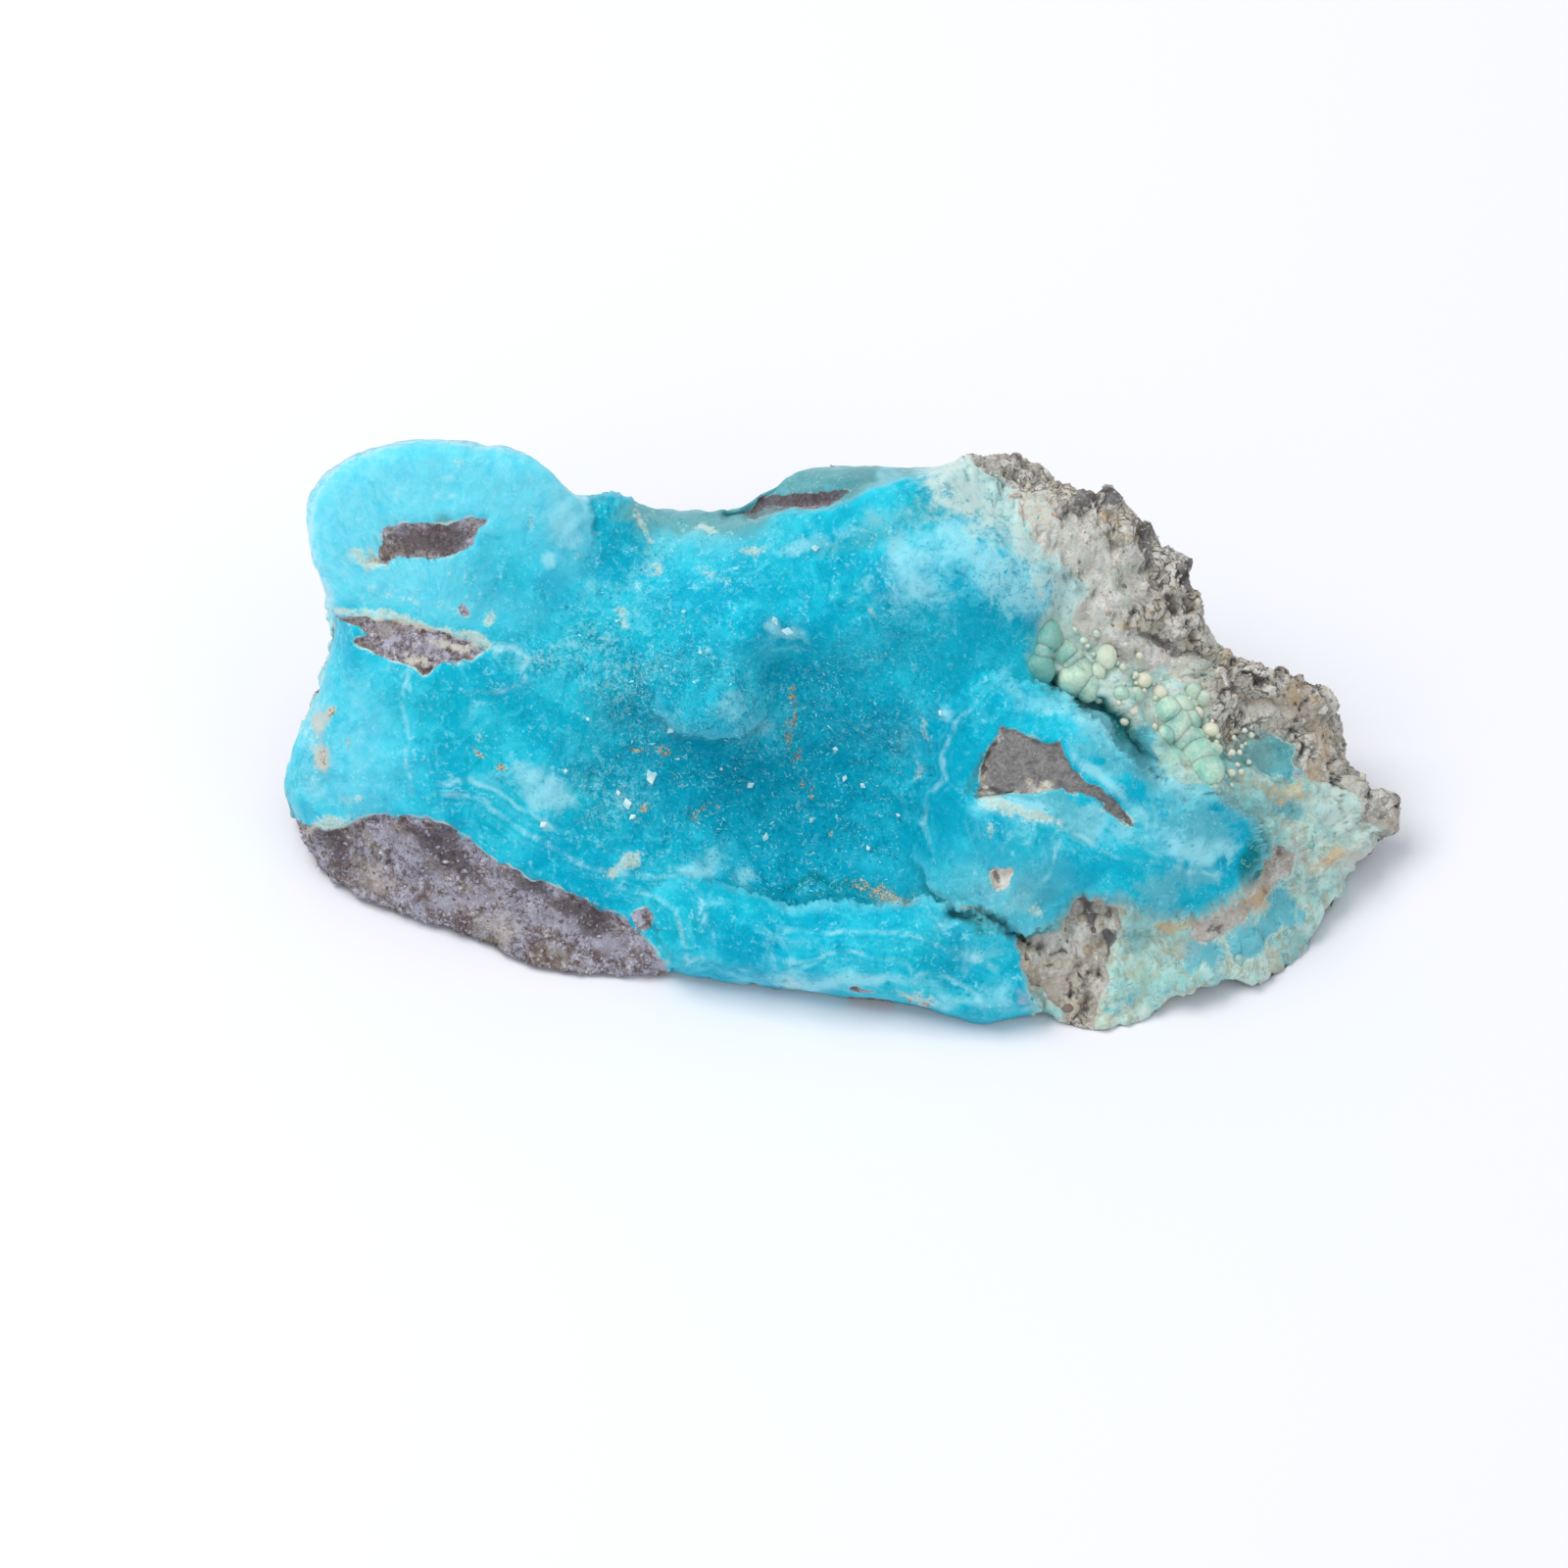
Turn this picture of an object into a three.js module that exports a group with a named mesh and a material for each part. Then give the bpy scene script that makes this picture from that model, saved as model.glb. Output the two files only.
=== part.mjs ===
// A hemimorphite specimen: one broken lump of brown-grey vein rock, with a waxy blue hemimorphite
// crust grown over the face that leans back from the table. Rock and crust grew together, so the
// whole specimen is one closed body.
//
// The shape is worked out in the frame of the crusted face: u runs to the right along the face,
// v runs up it, and w is the height of the surface out of it. The outline of the face is a rim of
// points. The crust spans the rim in front, a wall of broken rock drops from the rim to the foot,
// and a flat base closes the foot on the table.
//
// Units are millimetres, +Z is up, and the origin is on the table under the middle of the specimen.

import * as THREE from 'three';
import { mergeVertices } from 'three/addons/utils/BufferGeometryUtils.js';

// ---- Driving dimensions ----

const FACE_LEAN = THREE.MathUtils.degToRad(50); // how far the face looks up from the horizontal
const FACE_HEIGHT = 10.3;                       // the middle of the face above the table
const CENTRE_SHIFT = new THREE.Vector2(-1.56, -2.07); // brings the middle of the specimen over the origin

const CELLS_ACROSS = 60;      // grid cells of a sheet along u
const CELLS_UP = 32;          // grid cells of a sheet along v
const HUB = new THREE.Vector2(-2, -1);  // the outline is seen whole from this point of the face
const RIM_SAMPLES = 1440;     // points on the smooth curve through the rim
const BASE_SHARE = 0.3;       // share of the back sheet's rings that lie on the flat base
const PLAN_RADII = new THREE.Vector2(30, 13); // ellipse whose normals say which way is outwards
const PLAN_MIDDLE = new THREE.Vector2(0, 2);  // middle of that ellipse and of the flat base

const SURVEY_REACH = 2.6;     // how far a surveyed depth of the face makes itself felt
const FRONT_EDGE = 1.6;       // width of the crust's rounded edge

// The rim, clockwise from the right end: [u, v, w, foot, swell]. Foot is how far the foot of the
// wall below stands out past the rim, and swell is how far the wall bulges out at half height.
const RIM = [
  // right end, down to its tip and the table
  [28.1, 0, -4.3, 0.5, 1], [29.9, -2.5, -5.5, -0.5, 0.3], [31.9, -3.6, -6.2, -2, -0.2],
  [32, -5, -6.6, -2.2, 0], [30.8, -6.6, -7, -1.2, 0.1],
  // along the table, from right to left
  [29.2, -7.8, -6.5, -0.7, 0.1], [28, -10.2, -4.6, -0.7, 0.1], [26.3, -12.2, -3, -0.8, 0.1],
  [23.9, -13.8, -1.6, -0.8, 0.1], [20.3, -14.2, -1.2, -0.8, 0.1], [18.3, -15.4, -0.3, -0.8, 0.1],
  [15.1, -16.1, 0.3, -0.9, 0.1], [12.2, -15.4, -0.2, -0.8, 0.1], [9.2, -15.8, 0.1, -0.8, 0.1],
  [5.5, -15, -0.5, -0.8, 0.1], [0, -14.2, -1.2, -0.8, 0.1], [-6.3, -13.4, -1.8, -0.8, 0.1],
  [-7.6, -13.1, -2, -0.8, 0.1], [-11.2, -13.3, -1.9, -0.9, 0.1], [-15.2, -12.7, -2.2, -1, 0.1],
  [-19.1, -11, -3.5, -1, 0.2], [-24.8, -9, -5.2, -1, 0.2], [-27.1, -7.2, -6.6, -1, 0.2],
  // left end, up to the notch
  [-28.3, -4.9, -8, -1, 0.2], [-28.9, -2.5, -6, -1, 0.5], [-28, 0.1, -5.5, -0.3, 0.6],
  [-26.8, 2.4, -4.5, 0.2, 0.8], [-25.9, 5.4, -3, 0, 0.5],
  // the upright lobe, which stands free as a leaf
  [-26.3, 7, -1.8, -0.8, 0.2], [-27.2, 9.9, -1.2, -2.2, -1], [-27.3, 12.7, -0.8, -3, -1.8],
  [-25.4, 14.7, -0.6, -3, -2.5], [-22.3, 15.6, -0.4, -2, -2.8], [-18.5, 15.5, -0.3, -1, -2.6],
  [-15.4, 14.9, 0, 0.5, -2], [-12.8, 12.8, -1.5, 1.5, -0.5],
  // the saddle and the far strip behind the ridge
  [-10.8, 12.8, -4.5, 0.5, 0.5], [-8.5, 12.1, -5, 1.2, 1], [-4.4, 12.1, -5, 2.2, 1.6],
  [-2.4, 13.2, -4.8, 2, 1.6], [-0.3, 14.3, -4.5, 1.8, 1.6], [3.8, 14.4, -4.3, 2, 1.8],
  [6.6, 14.3, -3.5, 2.5, 2],
  // the rough ridge, down to the right end
  [8.5, 15, -2, 3, 2], [10.3, 15.1, -1.5, 3, 2.2], [13, 13.4, -2, 3, 2],
  [14.6, 13.3, -1.8, 2.5, 1.4], [16.2, 13.1, -2, 2.2, 1], [17.2, 11.5, -2.2, 2, 0.8],
  [19.6, 9.1, -2.5, 1.8, 0.6], [20.9, 7.2, -3, 1.6, 0.5], [21.6, 5.1, -3.2, 1.6, 0.5],
  [23.2, 4, -3.9, 1.5, 0.6], [27, 2.8, -4.2, 0.8, 0.6], [28, 1.6, -4.3, 0.6, 0.6],
];

// The survey of the face: [u, v, w] for each part of it. Between them the surface is their average.
const FACE_SURVEY = {
  lobe: [
    [-25.4, 13, 0.8], [-26.5, 9.8, 0.2], [-22.8, 14, 1.2], [-19, 14, 1.3], [-15.5, 12.4, 1.3],
    [-22.8, 10.9, 1], [-19.1, 9.8, 1.4], [-14.6, 9.3, 1.2], [-22.8, 7.7, 0.6], [-25.4, 7.7, -0.2],
  ],
  leftEnd: [
    [-25.7, 5.6, -0.6], [-27, 0.3, -3.5], [-24.4, 0.3, -1.2], [-26.5, -2.9, -3.2],
    [-23.9, -2.9, -1], [-22.3, 0.3, 0.6], [-21.2, 3.4, 0.9],
  ],
  leftSlope: [
    [-21.2, -2.9, 0.3], [-17.5, 2.4, 0.9], [-14.3, 4.5, 0.8], [-17.5, -1.9, 0.6],
    [-13.8, 0.3, 0.3], [-15.4, -4.5, 0.2], [-11.1, 5.6, 0.6], [-10.1, -1.9, -1.5],
    [-12.2, -6.1, -0.4], [-9, -7.2, -1.2],
  ],
  saddle: [
    [-10.1, 11.1, -2.2], [-11.4, 10.8, -0.9], [-6.9, 11.1, -3.2], [-4.2, 11.4, -2.8], [-9.5, 8.2, -0.6],
    [-6.9, 7.7, -0.2], [-2.7, 8.2, 1.5],
  ],
  trough: [
    [-6.9, 2.4, 0.2], [-7.4, -1.9, -3], [-3.7, -5.6, -4], [0.5, -6.6, -4.5], [3.7, -2.4, -3.2],
    [0, -2.4, -3.6], [-0.5, 1.3, -1.8], [-6.9, -6.1, -2.2], [3.7, -6.6, -3.4], [-1.6, -8, -2.6],
    [1.5, -8.1, -3.4], [4.4, -8, -2.8],
  ],
  ridge: [
    [1.6, 5.6, 2], [3.7, 7.7, 4.5], [6.9, 9.8, 5.5], [9, 7.7, 5], [10.6, 4.5, 3], [12.2, 9.8, 4],
    [5.3, 12.4, 3.5], [1.6, 10.3, 3.2], [-1.6, 9.8, 1.6], [6.9, 4.5, 2.6], [3.7, 2.4, 0.2],
  ],
  roughRidge: [
    [10.1, 14, 0.5], [14.8, 10.9, 1.5], [19.1, 7.7, -0.5], [15.4, 6.6, 2], [20.7, 4.5, -1],
    [14.3, 4, 1.2], [19.6, 0.3, 0], [22.8, 2.4, -1.5],
  ],
  rightEnd: [
    [27.3, 0.3, -3.5], [27, -2.9, -2.8], [29.7, -4, -5], [24.9, -6.1, -1], [27.6, -7.2, -3],
    [27, -10.3, -3.2], [19.6, -12.5, 0.4], [22.8, -10.9, -0.4],
  ],
  raisedMass: [
    [7.4, 1.3, 1.5], [12.2, 1.3, 2.6], [13.3, -2.9, 3.2], [15.9, -0.8, 3], [19.6, -5, 2.5],
    [22.8, -6.1, 1.2], [6.9, -8.2, 1.4], [8, -2.9, 2], [9, -7.2, 2.4], [15.9, -7.2, 2.8],
  ],
  lowerBand: [
    [-6.9, -9.3, 0.6], [-3.7, -10.3, 1.3], [1.6, -10.9, 1.8], [6.4, -11.4, 2], [10.1, -13, 1.4],
    [-5.8, -12.7, -0.9], [1.6, -14, 0.6], [8, -14.8, 0.6], [13.3, -11.9, 0.5], [14.8, -14.6, 0.3],
  ],
  bareRock: [
    [-26, -5.3, -3.4], [-25.2, -6.9, -4.6], [-21.7, -4.6, -0.4], [-17.5, -7.2, -0.4],
    [-14.3, -8.5, -0.5], [-20.1, -8.7, -3.2], [-16.4, -10.9, -2.4], [-12.2, -11.9, -1.2],
  ],
};

// Ledges: patches of the face that stand above or below what is round them. Each has its rise, the
// width of its edge and its outline; one with a spot rises only there, and dies away past the
// spot's two radii. First come the two outlines that are used twice.
const BAND_OUTLINE = [
  [-9.3, -9], [-6.9, -7.8], [-2.1, -8.9], [3.7, -9.2], [6.1, -9], [11.1, -11.3], [12.8, -17],
  [-7.5, -15.1], [-8, -12.2],
];
const MASS_OUTLINE = [
  [9, 2.9], [6.3, -1.3], [5.2, -6.6], [6.4, -8.9], [10.9, -11.1], [14.5, -8.9], [20.9, -10],
  [23.4, -9], [24.8, -6.9], [21.7, -3.9], [19.9, -4.1], [15.9, -0.2], [11.1, 2.9],
];
const LEDGES = [
  // the far strip, behind the saddle and the ridge
  {
    rise: -4, edge: 1,
    outline: [[-4.8, 11.4], [-1.6, 11.7], [2.6, 12.8], [7.7, 14.3], [8.2, 15.6], [-3.7, 16.2]],
  },
  // the bare rock at the lower left
  {
    rise: -0.5, edge: 0.8,
    outline: [
      [-29, -4.9], [-26.5, -5.4], [-21.7, -4.5], [-18, -6.5], [-12.7, -9], [-9, -11.3],
      [-7.4, -14], [-12, -15.5], [-29, -9],
    ],
  },
  // the lower band, and its lip over the trough
  { rise: 1, edge: 0.9, outline: BAND_OUTLINE },
  { rise: 1.9, edge: 0.9, outline: BAND_OUTLINE, spot: { u: 0.5, v: -9.6, along: 6.5, up: 2.6 } },
  // the raised mass, and its higher top side
  { rise: 0.6, edge: 0.9, outline: MASS_OUTLINE },
  { rise: 0.7, edge: 0.9, outline: MASS_OUTLINE, spot: { u: 17, v: 0, along: 6, up: 3 } },
];

// The rounded knob that hangs over the trough: its middle, its radii across, below and above it,
// its height, and the steepness of its side.
const KNOB = { u: -5.6, v: 2.3, across: 3.3, below: 2.9, above: 6.5, height: 1.7, steepness: 3 };

// ---- The frame of the face ----

const leanSine = Math.sin(FACE_LEAN);
const leanCosine = Math.cos(FACE_LEAN);

// A place of the face in the upright frame of the specimen, before it is centred.
function faceToUpright(u, v, w) {
  return new THREE.Vector3(
    u,
    v * leanSine - w * leanCosine,
    v * leanCosine + w * leanSine + FACE_HEIGHT,
  );
}

// ---- The rim: a smooth closed curve, measured by the way gone along it ----

// Catmull-Rom: the smooth value between the second and third of four measures.
function smoothBetween([before, start, end, after], share) {
  const slopeIn = (end - before) / 2;
  const slopeOut = (after - start) / 2;
  const rest = 1 - share;
  return start * (1 + 2 * share) * rest ** 2 + end * (1 + 2 * rest) * share ** 2
    + slopeIn * share * rest ** 2 - slopeOut * rest * share ** 2;
}

function measureRim() {
  const samples = [];
  let walked = 0;
  for (let index = 0; index <= RIM_SAMPLES; index += 1) {
    const place = (index / RIM_SAMPLES) * RIM.length;
    const stretch = Math.min(Math.floor(place), RIM.length - 1);
    const rows = [-1, 0, 1, 2].map((step) => RIM[(stretch + step + RIM.length) % RIM.length]);
    const [u, v, w, foot, swell] = [0, 1, 2, 3, 4].map((column) => (
      smoothBetween(rows.map((row) => row[column]), place - stretch)
    ));
    const before = samples[index - 1];
    if (before) walked += Math.hypot(u - before.u, v - before.v, w - before.w);
    samples.push({ walked, u, v, w, foot, swell });
  }
  return samples;
}

const rim = measureRim();

// The rim at a share of the way round, from 0 to 1, clockwise from the right end.
function rimAt(share) {
  const walked = share * rim[RIM_SAMPLES].walked;
  let low = 0;
  let high = RIM_SAMPLES;
  while (high - low > 1) {
    const middle = (low + high) >> 1;
    if (rim[middle].walked <= walked) low = middle;
    else high = middle;
  }
  const along = (walked - rim[low].walked) / (rim[high].walked - rim[low].walked);
  const between = (name) => THREE.MathUtils.lerp(rim[low][name], rim[high][name], along);
  return { u: between('u'), v: between('v'), w: between('w'), foot: between('foot'), swell: between('swell') };
}

// ---- The face ----

// Distance to an outline, positive inside it.
function insideDistance(outline, u, v) {
  let nearest = Infinity;
  let inside = false;
  outline.forEach(([au, av], index) => {
    const [bu, bv] = outline[(index + 1) % outline.length];
    const lengthSquared = (bu - au) ** 2 + (bv - av) ** 2;
    const along = ((u - au) * (bu - au) + (v - av) * (bv - av)) / lengthSquared;
    const share = THREE.MathUtils.clamp(along, 0, 1);
    nearest = Math.min(nearest, Math.hypot(u - au - share * (bu - au), v - av - share * (bv - av)));
    if ((av > v) !== (bv > v) && u < au + ((v - av) / (bv - av)) * (bu - au)) inside = !inside;
  });
  return inside ? nearest : -nearest;
}

// How much of a spot there is at a place: exp(-d^2), with d the distance from its middle in radii.
function spotShare(spot, u, v) {
  return Math.exp(-(((u - spot.u) / spot.along) ** 2) - ((v - spot.v) / spot.up) ** 2);
}

// The face: the surveyed depths, each weighted by how near it is, plus the ledges and the knob.
const surveyPoints = Object.values(FACE_SURVEY).flat();

function frontDepth(u, v) {
  let total = 0;
  let weights = 0;
  for (const [su, sv, sw] of surveyPoints) {
    const weight = Math.exp(-((u - su) ** 2 + (v - sv) ** 2) / SURVEY_REACH ** 2);
    total += weight * sw;
    weights += weight;
  }
  let depth = total / weights;
  for (const { rise, edge, outline, spot } of LEDGES) {
    const inside = THREE.MathUtils.smoothstep(insideDistance(outline, u, v), -edge / 2, edge / 2);
    depth += rise * inside * (spot ? spotShare(spot, u, v) : 1);
  }
  const knobReach = Math.hypot(
    (u - KNOB.u) / KNOB.across,
    (v - KNOB.v) / (v > KNOB.v ? KNOB.above : KNOB.below),
  );
  return depth + KNOB.height / (1 + knobReach ** (2 * KNOB.steepness));
}

// How far an edge has turned at a distance from the rim: 0 on the rim, 1 past the edge's width.
function quarterRound(distance, width) {
  const share = THREE.MathUtils.clamp(1 - distance / width, 0, 1);
  return Math.sqrt(1 - share * share);
}

// ---- The body ----

// The crust: the surveyed face, turned down to the rim round its edge. Ring is 0 at the hub and 1
// on the rim.
function frontPoint(ring, edge) {
  const du = edge.u - HUB.x;
  const dv = edge.v - HUB.y;
  const u = HUB.x + ring * du;
  const v = HUB.y + ring * dv;
  const turned = quarterRound((1 - ring) * Math.hypot(du, dv), FRONT_EDGE);
  return faceToUpright(u, v, edge.w + (frontDepth(u, v) - edge.w) * turned);
}

// The rock: outer rings run down the wall from the rim to the foot, inner ones across the base.
function backPoint(ring, edge) {
  const top = frontPoint(1, edge);
  const outwards = new THREE.Vector2(top.x, top.y).sub(PLAN_MIDDLE);
  outwards.divide(PLAN_RADII).divide(PLAN_RADII).normalize();
  const foot = new THREE.Vector3(top.x + outwards.x * edge.foot, top.y + outwards.y * edge.foot, 0);
  if (ring < BASE_SHARE) {
    const middle = new THREE.Vector3(PLAN_MIDDLE.x, PLAN_MIDDLE.y, 0);
    return middle.lerp(foot, ring / BASE_SHARE);
  }
  const drop = (1 - ring) / (1 - BASE_SHARE);
  const swell = 4 * drop * (1 - drop) * edge.swell;
  const point = top.lerp(foot, drop);
  return point.add(new THREE.Vector3(outwards.x * swell, outwards.y * swell, 0));
}

// Cells passed on the way round the edge of the grid to the spoke through (a, b), counted
// anticlockwise from the middle of the right side. Both coordinates run from -1 to 1.
function cellsPassed(a, b) {
  const halfUp = CELLS_UP / 2;
  const halfAcross = CELLS_ACROSS / 2;
  if (a === 0 && b === 0) return 0;
  if (Math.abs(a) >= Math.abs(b)) {
    if (a > 0) return halfUp * (b / a);
    return CELLS_ACROSS + halfUp * (2 + b / a);
  }
  if (b > 0) return halfUp + halfAcross * (1 - a / b);
  return CELLS_ACROSS + 3 * halfUp + halfAcross * (1 - a / b);
}

function sheetPoint(a, b, isFront) {
  const ring = Math.max(Math.abs(a), Math.abs(b));
  const share = cellsPassed(a, b) / (2 * (CELLS_ACROSS + CELLS_UP));
  const edge = rimAt(share > 0 ? 1 - share : -share);
  const point = isFront ? frontPoint(ring, edge) : backPoint(ring, edge);
  return [point.x + CENTRE_SHIFT.x, point.y + CENTRE_SHIFT.y, Math.max(point.z, 0)];
}

function specimenGeometry() {
  const positions = [];
  const faces = [];
  const rowLength = CELLS_ACROSS + 1;
  for (const isFront of [true, false]) {
    const start = positions.length / 3;
    for (let row = 0; row <= CELLS_UP; row += 1) {
      for (let column = 0; column <= CELLS_ACROSS; column += 1) {
        const a = (2 * column) / CELLS_ACROSS - 1;
        const b = (2 * row) / CELLS_UP - 1;
        positions.push(...sheetPoint(a, b, isFront));
      }
    }
    for (let row = 0; row < CELLS_UP; row += 1) {
      for (let column = 0; column < CELLS_ACROSS; column += 1) {
        const corner = start + row * rowLength + column;
        const above = corner + rowLength;
        if (isFront) faces.push(corner, corner + 1, above + 1, corner, above + 1, above);
        else faces.push(corner, above + 1, corner + 1, corner, above, above + 1);
      }
    }
  }
  const geometry = new THREE.BufferGeometry();
  geometry.setAttribute('position', new THREE.Float32BufferAttribute(positions, 3));
  geometry.setIndex(faces);
  return mergeVertices(geometry, 1e-3);
}

const specimen = new THREE.Mesh(
  specimenGeometry(),
  new THREE.MeshStandardMaterial({ color: 0x2fb3d2, roughness: 0.4, metalness: 0 }),
);
specimen.name = 'hemimorphite_specimen';

const group = new THREE.Group();
group.add(specimen);

export default group;
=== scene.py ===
# A hemimorphite specimen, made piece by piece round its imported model: the grown lump of rock and
# blue crust, the green beads, the druse, the rock's grains and stones, the flakes, floor and light.
import math

import bpy
import numpy as np
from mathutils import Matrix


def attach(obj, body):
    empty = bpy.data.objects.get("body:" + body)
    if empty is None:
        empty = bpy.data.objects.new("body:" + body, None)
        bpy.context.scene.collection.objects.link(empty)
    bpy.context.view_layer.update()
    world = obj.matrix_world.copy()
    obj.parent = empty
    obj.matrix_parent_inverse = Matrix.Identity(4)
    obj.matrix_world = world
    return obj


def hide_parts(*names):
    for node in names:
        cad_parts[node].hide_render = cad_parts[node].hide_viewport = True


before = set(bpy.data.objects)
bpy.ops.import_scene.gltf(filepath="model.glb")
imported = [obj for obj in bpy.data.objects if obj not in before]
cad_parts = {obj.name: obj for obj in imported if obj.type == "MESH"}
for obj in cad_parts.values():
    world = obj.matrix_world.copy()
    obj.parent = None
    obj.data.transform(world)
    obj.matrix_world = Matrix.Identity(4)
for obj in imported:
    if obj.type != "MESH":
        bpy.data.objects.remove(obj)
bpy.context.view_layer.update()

# ---- The specimen: rock and crust, grown together ----
# A broken lump of brown-grey vein rock whose leaning face carries a waxy, milky blue hemimorphite
# crust. The crust crystallised on the rock, so the two are one closed body.

MM = 0.001                          # lengths below are in millimetres, the mesh is in metres
FACE_LEAN = math.radians(50)        # how far the crusted face looks up from the horizontal
FACE_HEIGHT = 10.3                  # the middle of the face above the table
CENTRE_SHIFT = (-1.56, -2.07)       # brings the middle of the specimen over the origin
HUB = np.array([-2.0, -1.0])        # the outline is seen whole from this point of the face
RIM_SAMPLES = 1440                  # points on the smooth curve through the rim
BASE_SHARE = 0.3                    # share of the back sheet's rings that lie on the flat base
PLAN_RADII = np.array([30.0, 13.0])  # ellipse whose normals say which way is outwards
PLAN_MIDDLE = np.array([0.0, 2.0])  # middle of that ellipse and of the flat base
SURVEY_REACH = 2.6                  # how far a surveyed depth of the face makes itself felt
FRONT_EDGE = 1.6                    # width of the crust's rounded edge
CELLS_ACROSS = 330                  # grid cells of a sheet along the face
CELLS_UP = 150                      # grid cells of a sheet up the face
WANDER = ((1.7, 0.22, 40), (0.55, 0.1, 50))  # how outlines wander: size, height and seed of each noise

# The rim, clockwise from the right end: along the face, up it, out of it, how far the foot of the
# wall stands out past the rim, and how far the wall bulges at half height.
RIM = np.array([
    # right end, down to its tip and the table
    [28.1, 0, -4.3, 0.5, 1], [29.9, -2.5, -5.5, -0.5, 0.3], [31.9, -3.6, -6.2, -2, -0.2],
    [32, -5, -6.6, -2.2, 0], [30.8, -6.6, -7, -1.2, 0.1],
    # along the table, from right to left
    [29.2, -7.8, -6.5, -0.7, 0.1], [28, -10.2, -4.6, -0.7, 0.1], [26.3, -12.2, -3, -0.8, 0.1],
    [23.9, -13.8, -1.6, -0.8, 0.1], [20.3, -14.2, -1.2, -0.8, 0.1], [18.3, -15.4, -0.3, -0.8, 0.1],
    [15.1, -16.1, 0.3, -0.9, 0.1], [12.2, -15.4, -0.2, -0.8, 0.1], [9.2, -15.8, 0.1, -0.8, 0.1],
    [5.5, -15, -0.5, -0.8, 0.1], [0, -14.2, -1.2, -0.8, 0.1], [-6.3, -13.4, -1.8, -0.8, 0.1],
    [-7.6, -13.1, -2, -0.8, 0.1], [-11.2, -13.3, -1.9, -0.9, 0.1], [-15.2, -12.7, -2.2, -1, 0.1],
    [-19.1, -11, -3.5, -1, 0.2], [-24.8, -9, -5.2, -1, 0.2], [-27.1, -7.2, -6.6, -1, 0.2],
    # left end, up to the notch
    [-28.3, -4.9, -8, -1, 0.2], [-28.9, -2.5, -6, -1, 0.5], [-28, 0.1, -5.5, -0.3, 0.6],
    [-26.8, 2.4, -4.5, 0.2, 0.8], [-25.9, 5.4, -3, 0, 0.5],
    # the upright lobe, which stands free as a leaf
    [-26.3, 7, -1.8, -0.8, 0.2], [-27.2, 9.9, -1.2, -2.2, -1], [-27.3, 12.7, -0.8, -3, -1.8],
    [-25.4, 14.7, -0.6, -3, -2.5], [-22.3, 15.6, -0.4, -2, -2.8], [-18.5, 15.5, -0.3, -1, -2.6],
    [-15.4, 14.9, 0, 0.5, -2], [-12.8, 12.8, -1.5, 1.5, -0.5],
    # the saddle and the far strip behind the ridge
    [-10.8, 12.8, -4.5, 0.5, 0.5], [-8.5, 12.1, -5, 1.2, 1], [-4.4, 12.1, -5, 2.2, 1.6],
    [-2.4, 13.2, -4.8, 2, 1.6], [-0.3, 14.3, -4.5, 1.8, 1.6], [3.8, 14.4, -4.3, 2, 1.8],
    [6.6, 14.3, -3.5, 2.5, 2],
    # the rough ridge, down to the right end
    [8.5, 15, -2, 3, 2], [10.3, 15.1, -1.5, 3, 2.2], [13, 13.4, -2, 3, 2],
    [14.6, 13.3, -1.8, 2.5, 1.4], [16.2, 13.1, -2, 2.2, 1], [17.2, 11.5, -2.2, 2, 0.8],
    [19.6, 9.1, -2.5, 1.8, 0.6], [20.9, 7.2, -3, 1.6, 0.5], [21.6, 5.1, -3.2, 1.6, 0.5],
    [23.2, 4, -3.9, 1.5, 0.6], [27, 2.8, -4.2, 0.8, 0.6], [28, 1.6, -4.3, 0.6, 0.6],
])

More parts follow.
